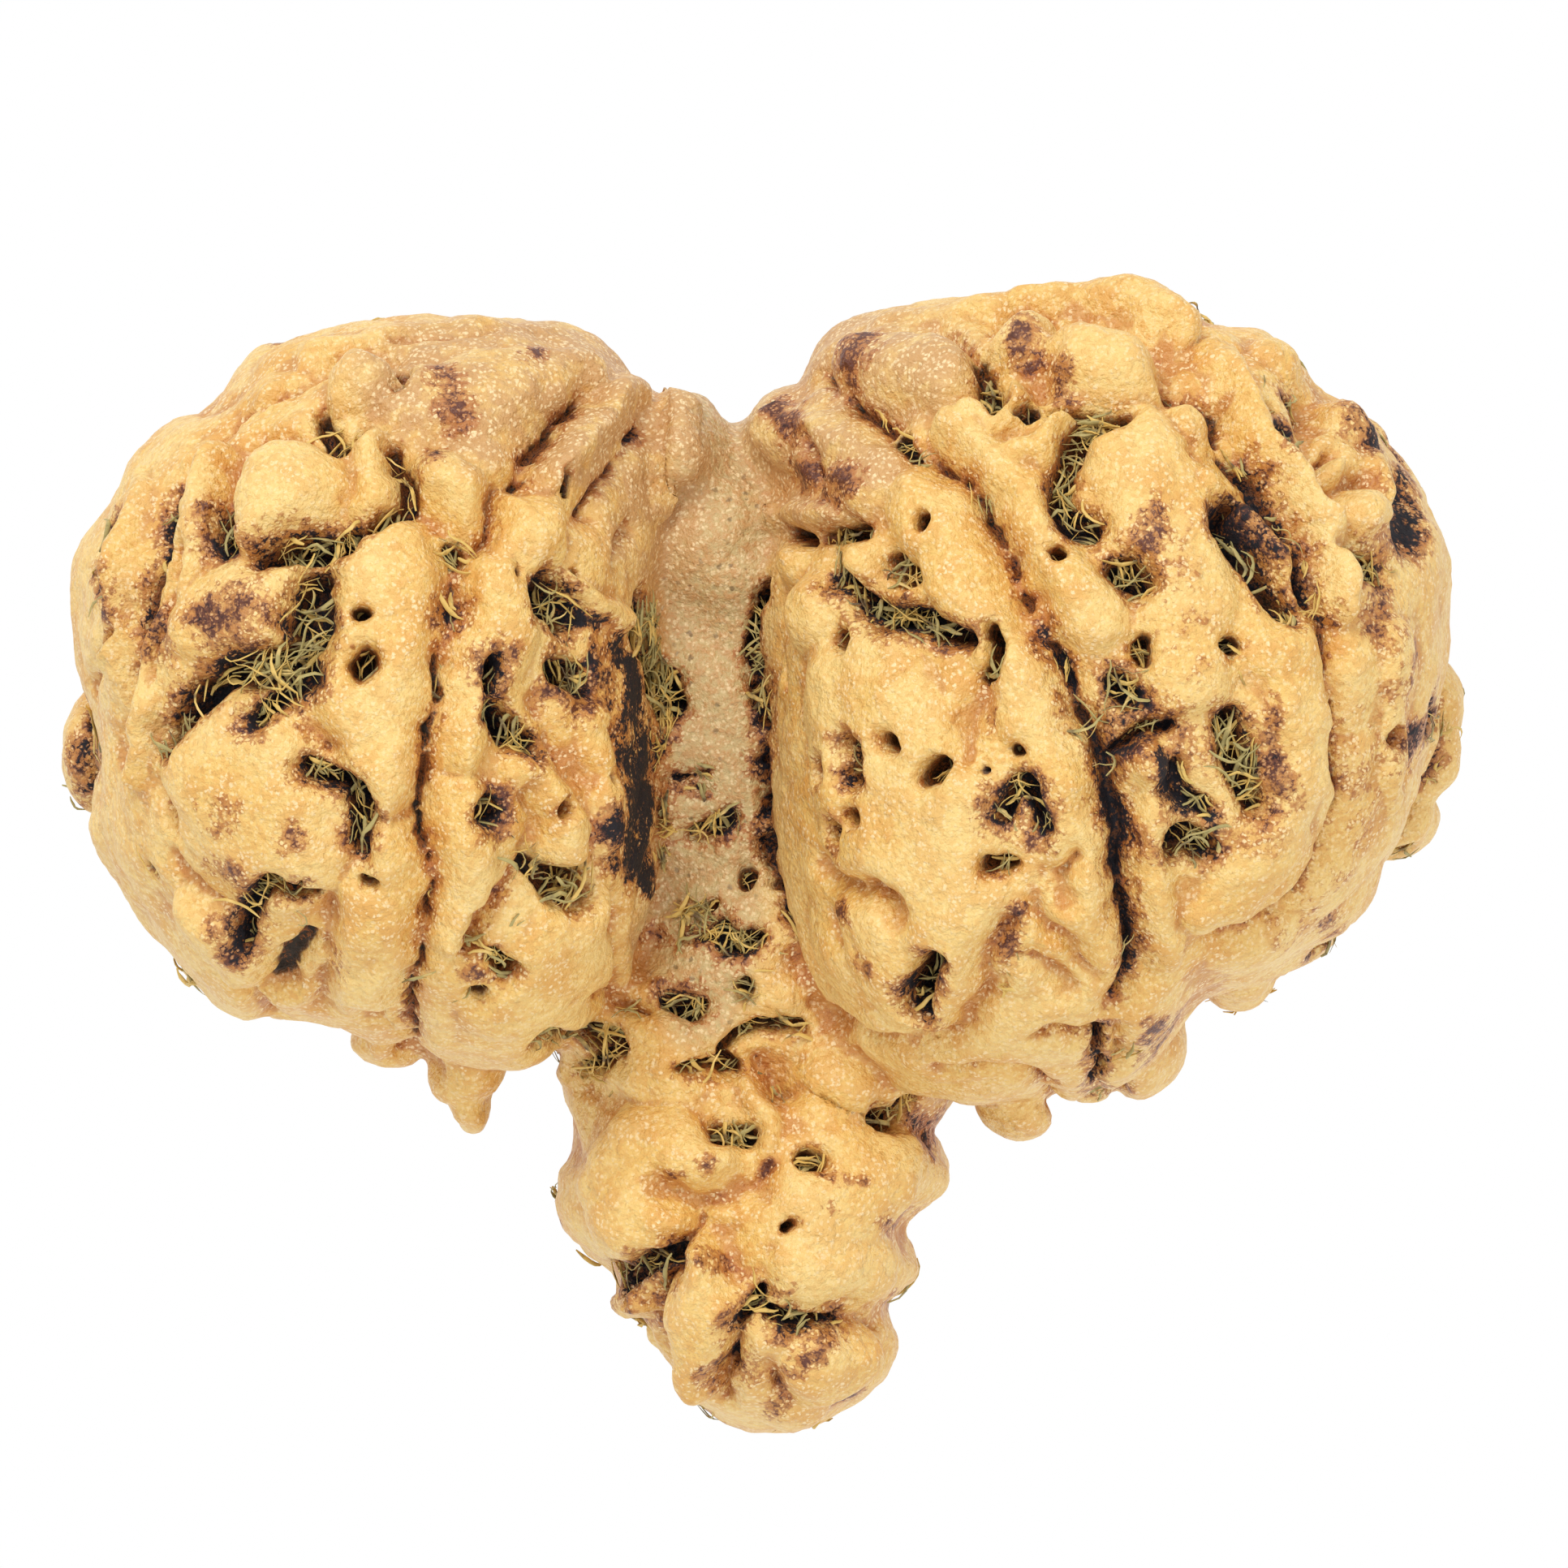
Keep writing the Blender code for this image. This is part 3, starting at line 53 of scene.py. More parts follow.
# Camera: straight down on the bead, from far off, as a product photograph is taken
photo = {
    "width": 1932,           # picture size in pixels
    "pixelsPerMm": 41.4,
    "mapOrigin": (939, 1054.5),   # pixel of the map's origin
    "lens": 1000,
    "rimHeight": 11.0,       # the level that the scale holds at, in mm
}

# Studio: a lit white table, an even white surround and two wide soft lamps
studio = {
    "surround": 0.86,
    "floorSize": 12.0,
    "tableGlow": 1.0,
    "lamps": [
        # name, place in m, size in m, power in W
        ("keyLamp", (-0.10, 0.27, 0.34), 0.20, 0.87),
        ("fillLamp", (0.18, -0.24, 0.34), 0.30, 0.32),
    ],
}

bpy.context.scene.view_settings.view_transform = "Standard"
world = bpy.data.worlds.new("surround")
world.use_nodes = True
world.node_tree.nodes["Background"].inputs["Color"].default_value = (1, 1, 1, 1)
world.node_tree.nodes["Background"].inputs["Strength"].default_value = studio["surround"]
bpy.context.scene.world = world
for name, place, size, power in studio["lamps"]:
    bpy.ops.object.light_add(type="AREA", location=place)
    lamp = bpy.context.object
    lamp.name = name
    lamp.data.size = size
    lamp.data.energy = power
    lamp.rotation_euler = (Vector((0, 0, 0.01)) - Vector(place)).to_track_quat("-Z", "Y").to_euler()
bpy.ops.mesh.primitive_plane_add(size=studio["floorSize"], location=(0, 0, 0))
floor = bpy.context.object
floor.name = "floor"
floorMaterial = bpy.data.materials.new("litTable")
floorMaterial.use_nodes = True
floorShader = floorMaterial.node_tree.nodes["Principled BSDF"]
floorShader.inputs["Base Color"].default_value = (0, 0, 0, 1)
floorShader.inputs["Specular IOR Level"].default_value = 0
floorShader.inputs["Emission Color"].default_value = (1, 1, 1, 1)
floorShader.inputs["Emission Strength"].default_value = studio["tableGlow"]
floor.data.materials.append(floorMaterial)
print("studio set")


# Swollen forms: middle, half height, fullness and rim outline, counter-clockwise, in map mm
swells = {
    "leftLobe": {
        "middle": (-11.6, 4.8, 11.0),
        "halfHeight": 11.0,
        "fullness": 2.15,
        "rim": [
            (-3.0, 13.9), (-3.9, 14.3), (-4.2, 14.8), (-4.9, 15.5), (-5.6, 15.7), (-7.0, 16.0),
            (-8.6, 16.15), (-11.0, 16.1), (-13.2, 15.7), (-15.0, 15.0), (-15.5, 14.5),
            (-15.9, 13.8), (-16.7, 13.3), (-17.6, 13.0), (-18.2, 12.3), (-18.8, 11.6),
            (-19.5, 10.5), (-20.0, 9.4), (-20.4, 8.3), (-20.6, 6.6), (-20.4, 5.4), (-20.0, 4.2),
            (-19.8, 3.0), (-19.8, 1.8), (-19.9, 0.8), (-19.6, -0.2), (-18.9, -1.2),
            (-18.0, -2.4), (-17.3, -3.5), (-16.4, -4.3), (-15.4, -4.9), (-13.3, -5.0),
            (-12.0, -5.3), (-10.8, -5.8), (-9.8, -6.2), (-8.2, -6.4), (-6.8, -6.2),
            (-5.2, -5.4), (-3.9, -3.6), (-3.2, -1.2), (-2.9, 1.5), (-2.9, 5.0), (-2.9, 8.0),
            (-2.8, 11.0), (-2.6, 13.0),
        ],
    },
    "rightLobe": {
        "middle": (10.4, 4.8, 11.3),
        "halfHeight": 11.3,
        "fullness": 2.15,
        "rim": [
            (18.4, -0.6), (19.2, 0.9), (19.7, 2.6), (20.1, 4.2), (20.4, 5.6), (20.5, 7.2),
            (20.7, 8.4), (20.4, 9.6), (19.9, 10.6), (19.2, 11.7), (18.4, 12.8), (17.5, 13.6),
            (16.6, 13.4), (16.4, 14.0), (15.9, 14.9), (15.2, 15.5), (14.0, 15.7), (13.1, 16.0),
            (12.6, 16.6), (11.8, 17.2), (11.0, 17.35), (10.0, 17.1), (9.2, 16.8), (8.6, 17.0),
            (7.8, 16.7), (6.5, 16.8), (4.8, 16.5), (3.5, 16.2), (2.3, 15.7), (1.5, 15.0),
            (1.1, 14.3), (0.6, 12.8), (0.3, 11.0), (0.0, 8.0), (-0.1, 5.0), (0.0, 1.5),
            (0.5, -1.2), (1.2, -3.4), (2.4, -5.6), (4.2, -7.0), (6.2, -7.4), (8.6, -7.3),
            (10.8, -6.9), (12.0, -5.9), (12.9, -4.4), (14.4, -4.0), (15.8, -3.2), (17.2, -2.2),
        ],
    },
    "tail": {
        "middle": (-0.3, -11.2, 6.4),
        "halfHeight": 6.4,
        "fullness": 2.3,
        "rim": [
            (4.8, -7.6), (5.4, -8.6), (5.7, -9.4), (5.5, -10.0), (4.7, -10.6), (4.1, -11.1),
            (4.4, -11.8), (4.65, -12.4), (4.2, -13.0), (3.7, -13.4), (3.7, -13.8),
            (4.05, -14.3), (3.7, -15.2), (3.1, -16.0), (2.3, -16.5), (1.7, -17.1), (0.8, -17.35),
            (-0.1, -17.2), (-1.2, -16.85), (-2.1, -16.4), (-2.5, -15.8), (-2.8, -15.0),
            (-3.5, -14.4), (-4.2, -13.9), (-4.6, -13.3), (-4.3, -12.4), (-5.1, -12.1),
            (-5.9, -11.3), (-6.3, -10.4), (-6.2, -9.4), (-5.6, -8.8), (-5.7, -8.0),
            (-6.0, -7.2), (-5.4, -5.0), (-2.0, -4.0), (2.0, -4.0), (4.6, -5.6),
        ],
    },
}

# Lumps that join the swollen forms or stand out from under them: x, y, z and three radii
lumps = [
    (-1.2, 4.5, 7.3, 4.6, 7.6, 6.6),
    (-1.3, 9.2, 8.6, 3.4, 3.7, 6.2),
    (0.4, -2.6, 6.9, 5.4, 5.2, 6.3),
    (-2.7, -5.2, 7.0, 3.9, 3.0, 5.8),
    (2.6, -5.6, 6.9, 3.8, 3.4, 5.6),
    (-2.2, 11.9, 10.6, 1.3, 2.1, 4.6),
    (0.6, 12.2, 10.0, 1.1, 1.9, 4.8),
    (-19.3, 3.1, 7.8, 1.7, 2.2, 3.0),
    (19.3, 4.0, 7.4, 1.65, 2.6, 3.2),
    (18.5, 1.2, 6.6, 1.7, 1.5, 2.8),
    (15.0, -1.9, 7.2, 2.3, 1.8, 3.4),
    (14.1, -3.4, 7.4, 1.3, 1.25, 3.0),
    (11.3, -5.3, 8.0, 1.3, 2.0, 3.0),
    (9.6, -5.9, 8.0, 1.3, 1.6, 3.0),
    (7.6, -7.2, 8.0, 1.3, 1.4, 3.0),
    (-8.8, -6.3, 8.2, 1.2, 1.2, 2.6),
    (-8.7, -7.5, 7.8, 0.65, 0.85, 1.5),
    (-11.1, -5.6, 8.2, 1.2, 0.8, 2.4),
]

# Raised relief: height, crown (2 is a knob, 4 a flat-topped pad), then x, y, outer radius
raised = [
    # left lobe, outer side
    (0.65, 2.0, [(-18.4, 11.2, 0.5), (-18.7, 9.6, 0.55), (-19.1, 7.8, 0.55), (-19.6, 5.9, 0.5)]),
    (0.65, 2.5, [(-16.2, 11.6, 0.7), (-16.9, 9.7, 0.9), (-17.2, 8.0, 0.8), (-17.9, 6.2, 0.7),
                 (-18.3, 4.2, 0.6), (-18.4, 2.3, 0.5)]),
    (0.50, 2.2, [(-16.9, 11.9, 0.5), (-15.6, 13.0, 0.6), (-14.3, 13.9, 0.6)]),
    (1.50, 2.6, [(-13.9, 10.8, 1.8), (-14.6, 9.5, 0.9)]),
    (1.20, 2.2, [(-11.9, 13.8, 1.1)]),
    (0.70, 2.0, [(-11.6, 12.3, 0.45), (-11.5, 10.6, 0.8)]),
    (0.75, 3.0, [(-16.7, 6.9, 1.3), (-14.9, 7.5, 1.6), (-13.7, 8.2, 0.7)]),
    (0.65, 3.5, [(-15.6, 1.8, 2.9), (-14.2, -0.2, 1.9)]),
    (0.55, 2.2, [(-15.3, 4.4, 0.45)]),
    (0.60, 3.2, [(-16.4, -1.9, 1.3), (-15.2, -3.5, 1.1)]),
    (0.45, 2.6, [(-13.7, -4.3, 1.0)]),
    # left lobe, between the two clefts
    (0.70, 3.2, [(-11.3, 9.0, 1.5), (-11.0, 7.2, 1.9), (-11.4, 4.6, 1.8), (-11.0, 2.4, 1.3)]),
    (0.60, 3.2, [(-10.8, 0.2, 1.1), (-11.3, -2.0, 1.6), (-12.0, -3.9, 1.4)]),
    (0.80, 2.2, [(-9.5, 11.2, 1.0), (-8.7, 10.6, 1.0)]),
    (0.90, 2.4, [(-6.8, 9.6, 1.4)]),
    (0.60, 3.0, [(-7.7, 8.0, 1.1), (-7.6, 6.4, 1.3), (-8.6, 5.0, 0.9), (-8.9, 3.2, 0.9)]),
    (0.55, 3.0, [(-8.9, 1.6, 1.0), (-8.6, -0.4, 1.0), (-9.2, -2.4, 0.8)]),
    (0.65, 2.6, [(-6.9, 2.6, 0.9), (-5.6, 0.4, 0.9)]),
    (0.60, 3.0, [(-5.6, -2.5, 1.9), (-7.4, -4.6, 1.6)]),
    # left lobe, towards the valley
    (0.50, 2.0, [(-5.7, 8.1, 0.45), (-4.1, 6.9, 0.5)]),
    (0.50, 2.2, [(-5.0, 4.0, 0.9), (-4.6, 0.6, 0.7)]),
    (0.80, 2.4, [(-6.4, 11.4, 0.7), (-5.2, 12.8, 0.95), (-3.8, 13.9, 0.7)]),
    (0.70, 2.4, [(-2.5, 13.5, 0.7), (-2.6, 12.0, 0.9), (-3.2, 10.4, 0.7)]),
    (0.60, 3.0, [(-9.8, 13.5, 1.5), (-7.6, 13.9, 1.9), (-5.3, 14.5, 1.0)]),
    (0.40, 3.0, [(-13.2, 14.9, 0.8), (-9.6, 15.9, 0.9), (-6.4, 15.7, 0.8)]),
    # right lobe, back folds and knobs
    (0.75, 3.0, [(1.9, 14.3, 1.2), (3.8, 14.6, 1.5), (5.6, 14.2, 1.3)]),
    (0.55, 2.4, [(3.0, 16.0, 0.7), (7.3, 16.3, 0.8)]),
    (1.00, 2.4, [(8.0, 15.1, 1.2)]),
    (1.00, 2.2, [(7.8, 16.3, 0.8), (9.6, 16.5, 0.9), (11.3, 16.4, 1.0), (12.4, 15.4, 0.7)]),
    (1.35, 2.6, [(9.3, 14.4, 1.3), (10.8, 14.1, 1.25)]),
    (0.95, 2.2, [(7.5, 11.7, 0.6), (8.6, 12.0, 0.65), (8.9, 12.7, 0.6)]),
    (0.80, 2.0, [(6.2, 12.9, 0.5), (7.2, 12.6, 0.5), (7.6, 13.6, 0.5)]),
    (0.65, 2.4, [(12.8, 13.0, 0.85)]),
    (0.90, 2.2, [(13.4, 14.7, 0.8), (14.2, 13.2, 0.75), (14.8, 12.0, 0.7), (15.8, 11.0, 0.75),
                 (16.5, 10.0, 0.8), (16.9, 9.0, 0.75), (17.1, 7.4, 0.6)]),
    (0.60, 2.0, [(13.1, 11.2, 0.4), (14.6, 9.9, 0.55), (15.4, 8.8, 0.5), (15.9, 7.8, 0.4)]),
    (0.85, 2.2, [(15.3, 14.8, 1.0)]),
    (0.70, 2.2, [(13.5, 15.4, 0.9)]),
    (0.95, 2.4, [(17.4, 12.9, 1.3)]),
    (0.65, 2.2, [(17.0, 11.4, 0.7)]),
    (0.85, 2.4, [(17.6, 10.2, 0.9)]),
    (0.50, 2.0, [(18.0, 11.9, 0.45), (18.5, 10.6, 0.4)]),
    # right lobe, upper middle
    (0.60, 3.0, [(0.5, 12.6, 1.2), (2.1, 12.2, 1.5), (3.3, 11.1, 1.2)]),
    (0.55, 2.0, [(0.3, 10.1, 0.45), (2.2, 10.1, 0.55)]),
    (0.80, 2.4, [(5.5, 12.7, 0.7), (6.5, 12.0, 1.0), (7.2, 11.0, 1.1), (7.8, 10.0, 1.2),
                 (8.4, 8.9, 1.0), (9.1, 7.8, 1.1), (9.9, 6.9, 0.9)]),
    (0.80, 2.8, [(5.0, 10.4, 1.6), (5.7, 8.6, 1.4), (6.5, 6.9, 1.0)]),
    (0.80, 2.2, [(1.0, 8.7, 0.9)]),
    (0.75, 2.2, [(3.1, 8.7, 0.75)]),
    (0.60, 2.2, [(4.4, 7.6, 0.5)]),
    (0.60, 3.4, [(11.0, 12.2, 1.5), (11.9, 10.2, 1.9), (12.4, 8.0, 1.7), (12.6, 5.6, 1.5)]),
    # right lobe, the broad face pad and what borders it
    (0.75, 2.4, [(1.6, 7.1, 1.4)]),
    (0.75, 4.0, [(2.8, 4.6, 2.7), (4.0, 1.2, 3.6), (4.4, -2.0, 3.2), (4.4, -3.9, 1.9)]),
    (0.35, 2.2, [(3.5, 0.1, 1.5)]),
    (0.35, 2.2, [(4.3, -1.9, 1.4)]),
    (0.60, 2.8, [(7.2, 5.6, 1.1), (8.3, 3.6, 1.2), (9.2, 1.2, 1.0), (9.5, -1.4, 1.2),
                 (10.1, -3.0, 0.8)]),
    (0.85, 2.2, [(11.3, 2.7, 0.8)]),
    (0.50, 2.2, [(11.4, 1.6, 0.6), (11.6, -0.4, 0.6), (11.9, -3.0, 0.8)]),
    (0.55, 3.0, [(13.5, -1.6, 1.1), (15.2, 0.4, 1.4), (16.1, 3.0, 1.1), (15.7, 5.6, 1.4)]),
    (0.50, 3.0, [(18.6, 6.4, 0.9), (18.6, 4.0, 0.7), (18.7, 1.6, 0.7)]),
    # tail
    (0.80, 3.0, [(-4.0, -10.2, 2.3), (-3.4, -8.6, 1.6), (-1.6, -9.2, 0.9)]),
    (0.70, 3.2, [(2.4, -10.2, 2.6), (3.6, -9.2, 1.6)]),
    (0.70, 2.6, [(3.3, -12.3, 1.3), (1.0, -12.3, 1.0)]),
    (0.95, 2.6, [(-2.0, -12.0, 0.7), (-1.8, -13.4, 1.35), (-1.9, -15.3, 1.3)]),
    (0.75, 2.4, [(-3.9, -13.4, 0.9)]),
    (0.80, 3.0, [(2.2, -15.1, 2.0)]),
    (0.50, 2.4, [(-3.0, -6.9, 1.3)]),
    (0.45, 2.0, [(-0.5, -6.9, 0.4), (0.1, -8.0, 0.45), (0.1, -9.4, 0.4)]),
    (0.50, 2.6, [(2.0, -7.2, 1.5)]),
]

# What each kind of carving is like, in mm: depth, rounded lip, how dark it is, and how far and
# how strongly red-brown stain spreads round it
cutKinds = {
    "pit": {"depth": 1.15, "lip": 0.35, "lipDepth": 0.18, "dark": 0.35, "spread": 0.35, "halo": 0.35},
    "hole": {"depth": 0.95, "lip": 0.3, "lipDepth": 0.12, "dark": 0.35, "spread": 0.3, "halo": 0.3},
    "pocket": {"depth": 1.3, "lip": 0.45, "lipDepth": 0.25, "dark": 0.5, "spread": 0.4, "halo": 0.4},
    "stained": {"depth": 1.1, "lip": 0.4, "lipDepth": 0.2, "dark": 1.0, "spread": 0.9, "halo": 0.95},
    "deep": {"depth": 1.5, "lip": 0.5, "lipDepth": 0.3, "dark": 0.95, "spread": 0.7, "halo": 0.75},
    "cleft": {"depth": 1.2, "lip": 1.2, "lipDepth": 0.6, "dark": 1.0, "spread": 0.7, "halo": 0.8},
    "furrow": {"depth": 1.0, "lip": 1.2, "lipDepth": 0.6, "dark": 0.65, "spread": 0.4, "halo": 0.6},
    "seam": {"depth": 1.1, "lip": 0.3, "lipDepth": 0.2, "dark": 1.0, "spread": 0.5, "halo": 0.7},
    "groove": {"depth": 0.75, "lip": 0.7, "lipDepth": 0.4, "dark": 0.2, "spread": 0.4, "halo": 0.4},
    "step": {"depth": 0.6, "lip": 0.85, "lipDepth": 0.5, "dark": 0.0, "spread": 0.3, "halo": 0.2},
    "crease": {"depth": 0.4, "lip": 0.5, "lipDepth": 0.2, "dark": 0.0, "spread": 0.3, "halo": 0.2},
    "bowl": {"depth": 0.9, "lip": 1.0, "lipDepth": 0.6, "dark": 0.0, "spread": 0.3, "halo": 0.2},
    "dimple": {"depth": 0.45, "lip": 0.9, "lipDepth": 0.4, "dark": 0.0, "spread": 0.3, "halo": 0.1},
    "litter": {"depth": 0.02, "lip": 0.1, "lipDepth": 0.0, "dark": 0.4, "spread": 0.3, "halo": 0.5},
    "hollow": {"depth": 0.7, "lip": 0.4, "lipDepth": 0.2, "dark": 0.95, "spread": 0.6, "halo": 0.8},
}

